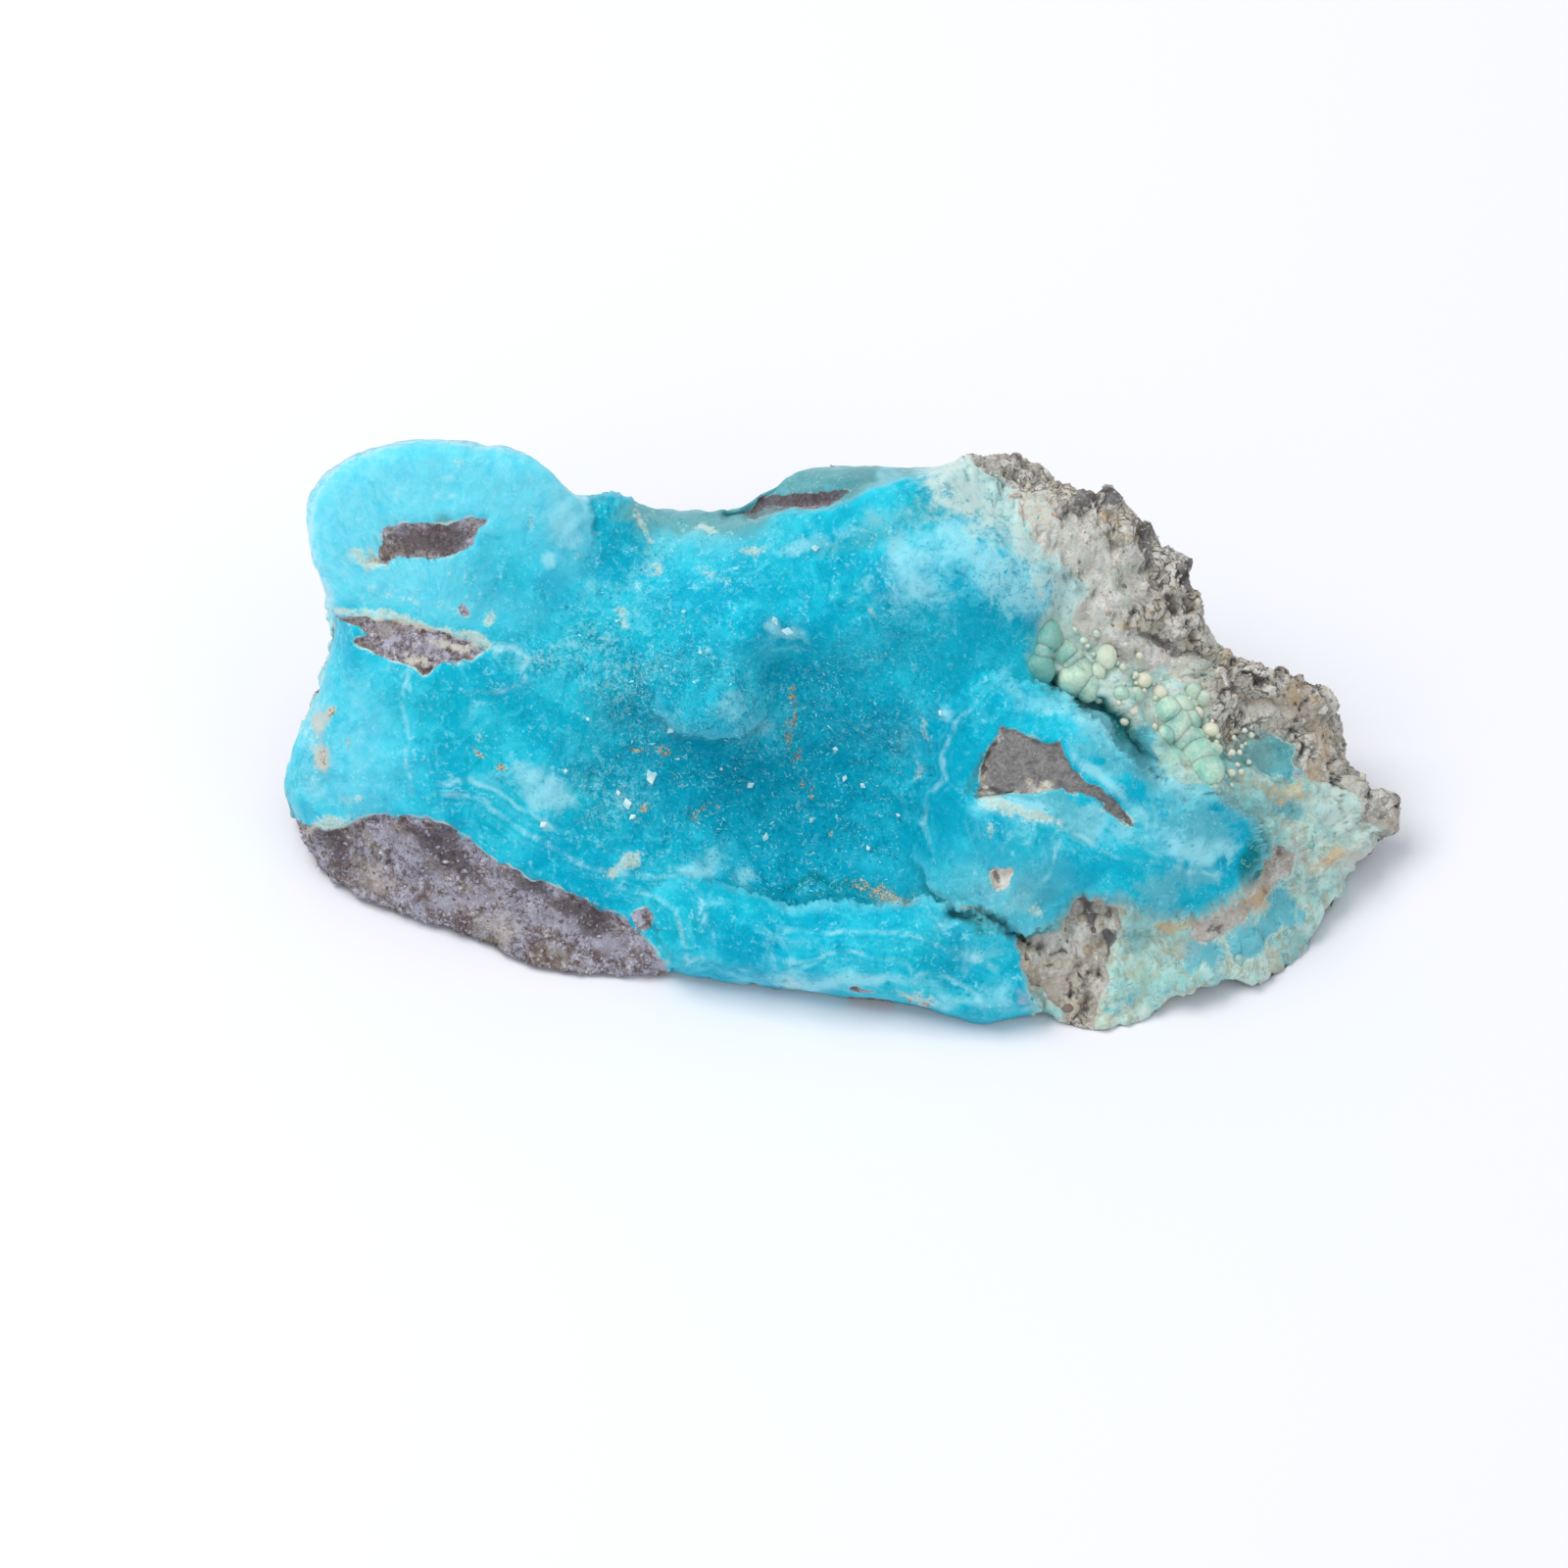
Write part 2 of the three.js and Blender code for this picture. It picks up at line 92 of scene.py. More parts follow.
# The survey of the face, for each part of it: along the face, up it, out of it.
FACE_SURVEY = {
    "lobe": [
        [-25.4, 13, 0.8], [-26.5, 9.8, 0.2], [-22.8, 14, 1.2], [-19, 14, 1.3], [-15.5, 12.4, 1.3],
        [-22.8, 10.9, 1], [-19.1, 9.8, 1.4], [-14.6, 9.3, 1.2], [-22.8, 7.7, 0.6], [-25.4, 7.7, -0.2],
    ],
    "left end": [
        [-25.7, 5.6, -0.6], [-27, 0.3, -3.5], [-24.4, 0.3, -1.2], [-26.5, -2.9, -3.2],
        [-23.9, -2.9, -1], [-22.3, 0.3, 0.6], [-21.2, 3.4, 0.9],
    ],
    "left slope": [
        [-21.2, -2.9, 0.3], [-17.5, 2.4, 0.9], [-14.3, 4.5, 0.8], [-17.5, -1.9, 0.6],
        [-13.8, 0.3, 0.3], [-15.4, -4.5, 0.2], [-11.1, 5.6, 0.6], [-10.1, -1.9, -1.5],
        [-12.2, -6.1, -0.4], [-9, -7.2, -1.2],
    ],
    "saddle": [
        [-10.1, 11.1, -2.2], [-11.4, 10.8, -0.9], [-6.9, 11.1, -3.2], [-4.2, 11.4, -2.8], [-9.5, 8.2, -0.6],
        [-6.9, 7.7, -0.2], [-2.7, 8.2, 1.5],
    ],
    "trough": [
        [-6.9, 2.4, 0.2], [-7.4, -1.9, -3], [-3.7, -5.6, -4], [0.5, -6.6, -4.5], [3.7, -2.4, -3.2],
        [0, -2.4, -3.6], [-0.5, 1.3, -1.8], [-6.9, -6.1, -2.2], [3.7, -6.6, -3.4], [-1.6, -8, -2.6],
        [1.5, -8.1, -3.4], [4.4, -8, -2.8],
    ],
    "ridge": [
        [1.6, 5.6, 2], [3.7, 7.7, 4.5], [6.9, 9.8, 5.5], [9, 7.7, 5], [10.6, 4.5, 3], [12.2, 9.8, 4],
        [5.3, 12.4, 3.5], [1.6, 10.3, 3.2], [-1.6, 9.8, 1.6], [6.9, 4.5, 2.6], [3.7, 2.4, 0.2],
    ],
    "rough ridge": [
        [10.1, 14, 0.5], [14.8, 10.9, 1.5], [19.1, 7.7, -0.5], [15.4, 6.6, 2], [20.7, 4.5, -1],
        [14.3, 4, 1.2], [19.6, 0.3, 0], [22.8, 2.4, -1.5],
    ],
    "right end": [
        [27.3, 0.3, -3.5], [27, -2.9, -2.8], [29.7, -4, -5], [24.9, -6.1, -1], [27.6, -7.2, -3],
        [27, -10.3, -3.2], [19.6, -12.5, 0.4], [22.8, -10.9, -0.4],
    ],
    "raised mass": [
        [7.4, 1.3, 1.5], [12.2, 1.3, 2.6], [13.3, -2.9, 3.2], [15.9, -0.8, 3], [19.6, -5, 2.5],
        [22.8, -6.1, 1.2], [6.9, -8.2, 1.4], [8, -2.9, 2], [9, -7.2, 2.4], [15.9, -7.2, 2.8],
    ],
    "lower band": [
        [-6.9, -9.3, 0.6], [-3.7, -10.3, 1.3], [1.6, -10.9, 1.8], [6.4, -11.4, 2], [10.1, -13, 1.4],
        [-5.8, -12.7, -0.9], [1.6, -14, 0.6], [8, -14.8, 0.6], [13.3, -11.9, 0.5], [14.8, -14.6, 0.3],
    ],
    "bare rock": [
        [-26, -5.3, -3.4], [-25.2, -6.9, -4.6], [-21.7, -4.6, -0.4], [-17.5, -7.2, -0.4],
        [-14.3, -8.5, -0.5], [-20.1, -8.7, -3.2], [-16.4, -10.9, -2.4], [-12.2, -11.9, -1.2],
    ],
}

# Patches of the face: the corners of their outlines, along the face and up it.
PATCHES = {
    "lobe": [[-29, 17], [-15, 17], [-12.4, 13], [-12, 10.3], [-12.8, 7.7], [-14.3, 6.2],
             [-16.4, 5.7], [-20, 5.9], [-23, 6.7], [-25.5, 6.9], [-29, 6.6]],
    "bare rock": [[-29.1, -4.9], [-26.5, -5.4], [-25.2, -4.9], [-24, -4.5], [-21.7, -4.5],
                  [-19.9, -5.1], [-18, -6.5], [-15.4, -8.1], [-12.7, -9], [-10.6, -10.1],
                  [-9, -11.3], [-7.7, -13.4], [-9, -15.5], [-22.8, -12.5], [-29.1, -8.2]],
    "lower band": [[-9.3, -9], [-6.9, -7.8], [-4.5, -8.4], [-2.1, -8.9], [-0.8, -9.4], [1.1, -9.1],
                   [3.7, -9.2], [6.1, -9], [8.5, -9.9], [11.1, -11.3], [11.7, -12.2], [12.8, -17],
                   [-7.5, -15.1], [-8, -12.2]],
    "raised mass": [[9, 2.9], [6.9, 1.3], [6.3, -1.3], [5.8, -4.5], [5.2, -6.6], [6.4, -8.9],
                    [9, -10.4], [10.9, -11.1], [12.8, -10.6], [14.5, -8.9], [15.9, -8.9],
                    [17.8, -9.5], [20.9, -10], [23.4, -9], [24.8, -6.9], [23.9, -4.9],
                    [21.7, -3.9], [19.9, -4.1], [18.6, -2.6], [15.9, -0.2], [13.2, 2.2],
                    [11.1, 2.9]],
    "knob": [[-8.6, 3.4], [-8.7, 1.2], [-7.8, 0], [-6.2, -0.6], [-4.4, -0.6], [-3, 0.1],
             [-2.3, 1.4], [-2.2, 3.2], [-3.2, 5.4], [-5.8, 6.6], [-7.8, 5.6]],
    "far strip": [[-4.8, 11.4], [-3.2, 11.7], [-1.6, 11.8], [0.8, 12.1], [2.6, 13], [5.3, 13.7],
                  [7.7, 14.3], [8.2, 16], [-3.7, 16.2], [-5.3, 11.9]],
    "upper lens": [[-24.3, 9.1], [-23.2, 10.2], [-23.6, 10.9], [-22.8, 11], [-21.5, 11.2],
                   [-19.6, 11.1], [-17.5, 11.4], [-18, 10.6], [-18.4, 9.8], [-19.5, 9.4],
                   [-20.7, 9.3], [-22.3, 9.3], [-23.1, 8.9]],
    "lower lens": [[-25.9, 6.4], [-24.4, 6.3], [-21.7, 5.8], [-19.1, 5], [-17.6, 4.5],
                   [-18.6, 3.9], [-20.1, 3.6], [-21.1, 2.9], [-22.5, 3.6], [-23.8, 4.3],
                   [-25, 4.9], [-24.2, 5.3]],
    "small chip": [[-19.2, 7], [-18.7, 7.1], [-18.5, 6.3], [-18.9, 6.2]],
    "grey triangle": [[10, 0.2], [11.7, -0.4], [13.4, -0.9], [13.9, -1.9], [14.8, -2.9],
                      [16.2, -3.7], [17.5, -5.3], [16.3, -4.8], [15.1, -3.7], [13.2, -3.2],
                      [11.1, -3.3], [8.9, -3.6], [9, -2.1]],
    "small triangle": [[9.2, -7.4], [10.8, -7.5], [10.6, -8.2], [9.8, -8.7]],
    "low rock": [[10.7, -11.5], [12.2, -10.9], [13.4, -10.5], [14.5, -9], [15.5, -8.9],
                 [16.4, -9.5], [16.9, -10.6], [15.9, -11.7], [15.8, -13.5], [15.1, -16.6],
                 [13.7, -16], [12.3, -14], [11.1, -12.9]],
    "back strip": [[-4.2, 11.8], [-2.9, 12.8], [-0.5, 13], [1.9, 13], [0.8, 12.1],
                   [-1.6, 11.8], [-2.9, 11.6]],
    "rough ridge": [[7.7, 14.2], [9, 16.6], [12.8, 16.4], [16.8, 15.2], [21, 12], [24.8, 6.8],
                    [30.4, 4.6], [34, -2.9], [34, -7], [29.4, -5.6], [27.3, -2.9], [24.9, -0.8],
                    [21.7, -1.3], [20.1, 0.3], [17, 2.9], [14.3, 4.5], [13.5, 7.7], [12.2, 9.8],
                    [9.5, 12.5]],
    "thin seam": [[24.8, -6], [26.1, -6.5], [26, -7.8], [24.9, -8.9], [23.5, -9.9],
                  [22.6, -10.8], [21.4, -11.5], [20.1, -11], [20.8, -10.3], [22.7, -9.8],
                  [24.2, -8.8], [24.8, -7.4]],
    "right end": [[11.9, 5.6], [13.2, 2.2], [15.9, -0.2], [18.6, -2.6], [19.9, -4.1], [21.7, -3.9],
                  [23.8, -4.9], [24.5, -6.7], [23.2, -8.5], [20.9, -9.9], [17.8, -9.5],
                  [15.9, -8.9], [14.5, -8.9], [12.8, -10.6], [10.9, -11.1], [12.4, -17],
                  [33, -17], [33, 5], [19.6, 9], [13, 8]],
}


def smooth_between(before, start, end, after, share):
    """Catmull-Rom: the cubic from start to end whose slopes are half the chords past its ends."""
    slope_in = (end - before) / 2
    slope_out = (after - start) / 2
    rest = 1 - share
    return (start * (1 + 2 * share) * rest**2 + end * (1 + 2 * rest) * share**2
            + slope_in * share * rest**2 - slope_out * rest * share**2)


def measure_rim():
    """The smooth closed curve through the rim's rows, and the way gone along it to each sample."""
    place = np.linspace(0, len(RIM), RIM_SAMPLES + 1)
    stretch = np.minimum(place.astype(int), len(RIM) - 1)
    share = (place - stretch)[:, None]
    rows = [RIM[(stretch + step) % len(RIM)] for step in (-1, 0, 1, 2)]
    samples = smooth_between(*rows, share)
    steps = np.linalg.norm(np.diff(samples[:, :3], axis=0), axis=1)
    return samples, np.concatenate([[0], np.cumsum(steps)])


rim_samples, rim_walked = measure_rim()


def rim_at(share):
    """The five measures of the rim at a share of the way round, clockwise from the right end."""
    walked = share * rim_walked[-1]
    return [np.interp(walked, rim_walked, rim_samples[:, column]) for column in range(5)]


def to_piece(start, end, u, v):
    """Distance to the straight piece from start to end, and the share of it passed at its nearest
    point: the share is the place's projection on the piece, kept between the ends."""
    (au, av), (bu, bv) = start, end
    length_squared = (bu - au) ** 2 + (bv - av) ** 2
    share = np.clip(((u - au) * (bu - au) + (v - av) * (bv - av)) / length_squared, 0, 1)
    return np.hypot(u - au - share * (bu - au), v - av - share * (bv - av)), share


def inside_distance(outline, u, v):
    """Distance to a closed outline, positive inside: the nearest of its straight edges, with the
    sign turned at each edge that a ray to the right crosses."""
    nearest = np.full(u.shape, np.inf)
    inside = np.zeros(u.shape, dtype=bool)
    for (au, av), (bu, bv) in zip(outline, outline[1:] + outline[:1]):
        nearest = np.minimum(nearest, to_piece((au, av), (bu, bv), u, v)[0])
        if av != bv:
            inside ^= ((av > v) != (bv > v)) & (u < au + (v - av) / (bv - av) * (bu - au))
    return np.where(inside, nearest, -nearest)


def smooth_step(value, low, high):
    """0 below low and 1 above high, with the cubic 3t^2 - 2t^3 between them."""
    share = np.clip((value - low) / (high - low), 0, 1)
    return share * share * (3 - 2 * share)


def hashed(cells, seed):
    """A repeatable random number from 0 to 1 for each whole-numbered cell, by mixing its bits."""
    mixed = cells.astype(np.int64).astype(np.uint32)
    bits = (mixed[..., 0] * np.uint32(0x8DA6B343)) ^ (mixed[..., 1] * np.uint32(0xD8163841))
    bits = bits ^ (mixed[..., 2] * np.uint32(0xCB1AB31F)) ^ np.uint32((seed * 0x9E3779B1) % 2**32)
    for shift, factor in ((15, 0x2C1B3C6D), (12, 0x297A2D39)):
        bits = (bits ^ (bits >> np.uint32(shift))) * np.uint32(factor)
    bits = bits ^ (bits >> np.uint32(15))
    return bits.astype(np.float64) / 2**32


def smooth_noise(points, size, seed):
    """Noise from -1 to 1: random values on a cubic lattice, blended with the cubic 3t^2 - 2t^3."""
    cells = np.floor(points / size)
    share = points / size - cells
    share = share * share * (3 - 2 * share)
    total = np.zeros(points.shape[:-1])
    for corner in np.ndindex(2, 2, 2):
        step = np.array(corner)
        weight = np.prod(np.where(step == 1, share, 1 - share), axis=-1)
        total += weight * hashed(cells + step, seed)
    return 2 * total - 1


def rough_noise(points, size, octaves, seed):
    """Fractal noise: each octave has half the size and half the height of the one before. The factor
    of 1.6 widens the sum, which keeps near 0, to about -1 to 1."""
    heights = 0.5 ** np.arange(octaves)
    layers = [height * smooth_noise(points, size * height, seed + octave)
              for octave, height in enumerate(heights)]
    return sum(layers) / heights.sum() * 1.6


def grains(points, size, seed):
    """Grains scattered one to a lattice cell: the distances to the nearest and the second nearest,
    in grain sizes, the way from the nearest, and that grain's own random number."""
    cells = np.floor(points / size)
    first = np.full(points.shape[:-1], np.inf)
    second = first.copy()
    way = np.zeros(points.shape)
    own = np.zeros(first.shape)
    for step in np.ndindex(3, 3, 3):
        cell = cells + np.array(step) - 1
        jitter = np.stack([hashed(cell, seed + axis) for axis in range(3)], axis=-1)
        offset = points / size - cell - jitter
        distance = np.linalg.norm(offset, axis=-1)
        nearer = distance < first
        second = np.where(nearer, first, np.minimum(second, distance))
        way = np.where(nearer[..., None], offset, way)
        own = np.where(nearer, hashed(cell, seed + 3), own)
        first = np.minimum(first, distance)
    return first, second, way, own


def blob(u, v, middle, radii, turn=0.0):
    """A soft oval spot: exp(-d^2), with d the distance from its middle in radii."""
    du = u - middle[0]
    dv = v - middle[1]
    cosine = math.cos(math.radians(turn))
    sine = math.sin(math.radians(turn))
    along = (du * cosine + dv * sine) / radii[0]
    across = (dv * cosine - du * sine) / radii[1]
    return np.exp(-along**2 - across**2)


def line_distance(points, u, v):
    """Distance to an open line through points, with its sign by the side, and the way along it as
    a share of its straight pieces."""
    nearest = np.full(u.shape, np.inf)
    side = np.ones(u.shape)
    way = np.zeros(u.shape)
    for index, ((au, av), (bu, bv)) in enumerate(zip(points[:-1], points[1:])):
        distance, share = to_piece((au, av), (bu, bv), u, v)
        nearer = distance < nearest
        turn = (bu - au) * (v - av) - (bv - av) * (u - au)
        side = np.where(nearer, np.where(turn < 0, -1.0, 1.0), side)
        way = np.where(nearer, (index + share) / (len(points) - 1), way)
        nearest = np.minimum(nearest, distance)
    return nearest, side, way


def wandering(u, v):
    """Face coordinates shifted a little by noise, so that what is drawn on them looks grown."""
    flat = np.stack([u, v, np.zeros(u.shape)], axis=-1)
    shifts = [sum(height * smooth_noise(flat, size, seed + axis) for size, height, seed in WANDER)
              for axis in range(2)]
    return u + shifts[0], v + shifts[1]


# Ledges of the face: the patch, how far it stands out, and how wide its edge is. The last five die
# away, so they have also the middle and the radii of the oval where they stand.
LEDGES = [
    ("far strip", -4.0, 0.8), ("raised mass", 0.6, 0.5), ("bare rock", -0.5, 0.3),
    ("lower band", 1.0, 0.25), ("upper lens", -0.3, 0.2),
    ("lower lens", -0.22, 0.2), ("grey triangle", -0.35, 0.2), ("small triangle", -0.3, 0.2),
    ("low rock", -0.4, 0.35), ("small chip", 0.15, 0.2), ("thin seam", -0.1, 0.5),
    ("lobe", 0.5, 0.3, (-12.6, 11.8), (1.5, 2)), ("lower band", 1.9, 0.3, (0.5, -9.6), (6.5, 2.6)),
    ("raised mass", 0.9, 0.4, (11, -10.4), (2.2, 1.3)), ("raised mass", 0.7, 0.4, (17, 0), (6, 3)),
    ("knob", 1.1, 0.4, (-5.6, 0), (3.8, 2.2)),
]
# Open cracks: their line, width and depth.
CRACKS = [
    ([[7.4, -9.9], [8.2, -10.1], [9.8, -10.5], [11.2, -11.5]], 0.3, 1.5),
    ([[13.1, 2.2], [14.8, 1.5], [16.4, 0.6], [17.5, -0.9], [18.6, -2.6]], 0.5, 1.5),
    ([[8.8, -3.45], [10, -3.5], [10.6, -3.3]], 0.12, 0.4),
]
# The knob: its middle, its radii across, below and above, its height, and how square its edge is.
KNOB = {"along": -5.6, "up": 2.3, "across": 3.3, "below": 2.9, "above": 6.5, "height": 1.7,
        "steepness": 6}


def front_depth(u, v):
    """Height out of the face: the average of the surveyed depths, each weighted by exp(-d^2) of its
    distance d in reaches, plus the smooth steps of the ledges, less the cracks, plus the knob, which
    falls off as 1 / (1 + d^6)."""
    survey = np.array([row for rows in FACE_SURVEY.values() for row in rows])
    total = np.zeros(u.shape)
    weights = np.zeros(u.shape)
    for su, sv, sw in survey:
        weight = np.exp(-((u - su) ** 2 + (v - sv) ** 2) / SURVEY_REACH**2)
        total += weight * sw
        weights += weight
    depth = total / weights
    grown_u, grown_v = wandering(u, v)
    for patch, rise, edge, *oval in LEDGES:
        inside = smooth_step(inside_distance(PATCHES[patch], grown_u, grown_v), -edge / 2, edge / 2)
        depth += rise * inside * (blob(u, v, *oval) if oval else 1)
    for line, width, drop in CRACKS:
        depth -= drop * np.exp(-((line_distance(line, grown_u, grown_v)[0] / width) ** 2))
    knob_radius = np.where(grown_v > KNOB["up"], KNOB["above"], KNOB["below"])
    reach = np.hypot((grown_u - KNOB["along"]) / KNOB["across"], (grown_v - KNOB["up"]) / knob_radius)
    return depth + KNOB["height"] / (1 + reach ** KNOB["steepness"])


def face_to_upright(u, v, w):
    """The face's frame leans back: v and w are turned about x by the lean, then raised."""
    sine = math.sin(FACE_LEAN)
    cosine = math.cos(FACE_LEAN)
    return np.stack([u + CENTRE_SHIFT[0], v * sine - w * cosine + CENTRE_SHIFT[1],
                     v * cosine + w * sine + FACE_HEIGHT], axis=-1)


def cells_passed(a, b):
    """Cells passed on the way round the grid's edge to the spoke through (a, b), anticlockwise from
    the middle of the right side: each side is as long as its cells, and the spoke is straight."""
    half_up = CELLS_UP / 2
    half_across = CELLS_ACROSS / 2
    by_a = b / np.where(a == 0, 1, a)
    by_b = a / np.where(b == 0, 1, b)
    right = half_up * by_a
    left = CELLS_ACROSS + half_up * (2 + by_a)
    top = half_up + half_across * (1 - by_b)
    bottom = CELLS_ACROSS + 3 * half_up + half_across * (1 - by_b)
    sideways = np.where(a > 0, right, left)
    upright = np.where(b > 0, top, bottom)
    return np.where((a == 0) & (b == 0), 0, np.where(np.abs(a) >= np.abs(b), sideways, upright))


# Both sheets are one square grid: ring is the share of the way from the hub out to the rim, and
# round_share the share of the way round it.
grid_a, grid_b = np.meshgrid(np.linspace(-1, 1, CELLS_ACROSS + 1), np.linspace(-1, 1, CELLS_UP + 1))
ring = np.maximum(np.abs(grid_a), np.abs(grid_b))
round_share = cells_passed(grid_a, grid_b) / (2 * (CELLS_ACROSS + CELLS_UP))
clockwise_share = np.where(round_share > 0, 1 - round_share, -round_share)
rim_u, rim_v, rim_w, rim_foot, rim_swell = rim_at(clockwise_share)
rim_reach = np.hypot(rim_u - HUB[0], rim_v - HUB[1])

# The crust: the surveyed face, turned down to the rim in a quarter round along its edge.
front_u = HUB[0] + ring * (rim_u - HUB[0])
front_v = HUB[1] + ring * (rim_v - HUB[1])
edge_share = np.clip(1 - (1 - ring) * rim_reach / FRONT_EDGE, 0, 1)
edge_turn = np.sqrt(1 - edge_share**2)
front = face_to_upright(front_u, front_v, rim_w + (front_depth(front_u, front_v) - rim_w) * edge_turn)

# The rock: outer rings run down the wall from the rim to the foot, inner ones across the base.
rim_top = face_to_upright(rim_u, rim_v, rim_w)
outwards = (rim_top[..., :2] - CENTRE_SHIFT - PLAN_MIDDLE) / PLAN_RADII**2
outwards /= np.linalg.norm(outwards, axis=-1, keepdims=True)
outwards = np.concatenate([outwards, np.zeros(ring.shape + (1,))], axis=-1)
foot = rim_top * [1, 1, 0] + outwards * rim_foot[..., None]
drop = np.clip((1 - ring) / (1 - BASE_SHARE), 0, 1)[..., None]
wall = rim_top + (foot - rim_top) * drop + outwards * (4 * drop * (1 - drop) * rim_swell[..., None])
base_middle = np.array([PLAN_MIDDLE[0] + CENTRE_SHIFT[0], PLAN_MIDDLE[1] + CENTRE_SHIFT[1], 0])
base = base_middle + (foot - base_middle) * np.clip(ring / BASE_SHARE, 0, 1)[..., None]
back = np.where((ring < BASE_SHARE)[..., None], base, wall)


def inner(grid):
    """A back sheet's values without its outermost ring, which the front sheet already has."""
    return grid[1:-1, 1:-1].reshape(-1, *grid.shape[2:])


def both(front_grid, back_grid):
    """The values of all vertices: the whole front sheet, then the inner part of the back sheet."""
    return np.concatenate([front_grid.reshape(-1, *front_grid.shape[2:]), inner(back_grid)])


body = both(front, back)
front_numbers = np.arange(ring.size).reshape(ring.shape)
back_numbers = front_numbers.copy()
back_numbers[1:-1, 1:-1] = ring.size + np.arange((CELLS_UP - 1) * (CELLS_ACROSS - 1)).reshape(
    CELLS_UP - 1, CELLS_ACROSS - 1)


def cell_corners(numbers):
    """The four corners of each cell of a grid of vertex numbers, anticlockwise."""
    return np.stack([numbers[:-1, :-1], numbers[:-1, 1:], numbers[1:, 1:], numbers[1:, :-1]],
                    axis=-1).reshape(-1, 4)


quads = np.concatenate([cell_corners(front_numbers), cell_corners(back_numbers)[:, ::-1]])


def vertex_normals(points, cells):
    """Unit normals: the cross products of the cells' diagonals, added up at their corners."""
    across = np.cross(points[cells[:, 2]] - points[cells[:, 0]], points[cells[:, 3]] - points[cells[:, 1]])
    summed = np.stack([sum(np.bincount(cells[:, corner], across[:, axis], len(points))
                           for corner in range(4)) for axis in range(3)], axis=-1)
    return summed / np.maximum(np.linalg.norm(summed, axis=1, keepdims=True), 1e-12)


# Where each vertex stands: its place on the face (the wall and base take their rim's), how far it
# is below the rim, and whether it is on the face, the wall or the base.
face_u = both(front_u, rim_u)
face_v = both(front_v, rim_v)
grown_u, grown_v = wandering(face_u, face_v)
on_front = both(np.ones(ring.shape), np.zeros(ring.shape))
on_base = both(np.zeros(ring.shape), (ring < BASE_SHARE).astype(float))
below_rim = both(np.zeros(ring.shape), np.linalg.norm(back - rim_top, axis=-1))
to_rim = both((1 - ring) * rim_reach, np.zeros(ring.shape))
patch_depth = {name: inside_distance(outline, grown_u, grown_v) for name, outline in PATCHES.items()}


def within(name, low, high):
    """How far inside a patch a vertex is, from 0 at one distance to 1 at another."""
    return smooth_step(patch_depth[name], low, high)


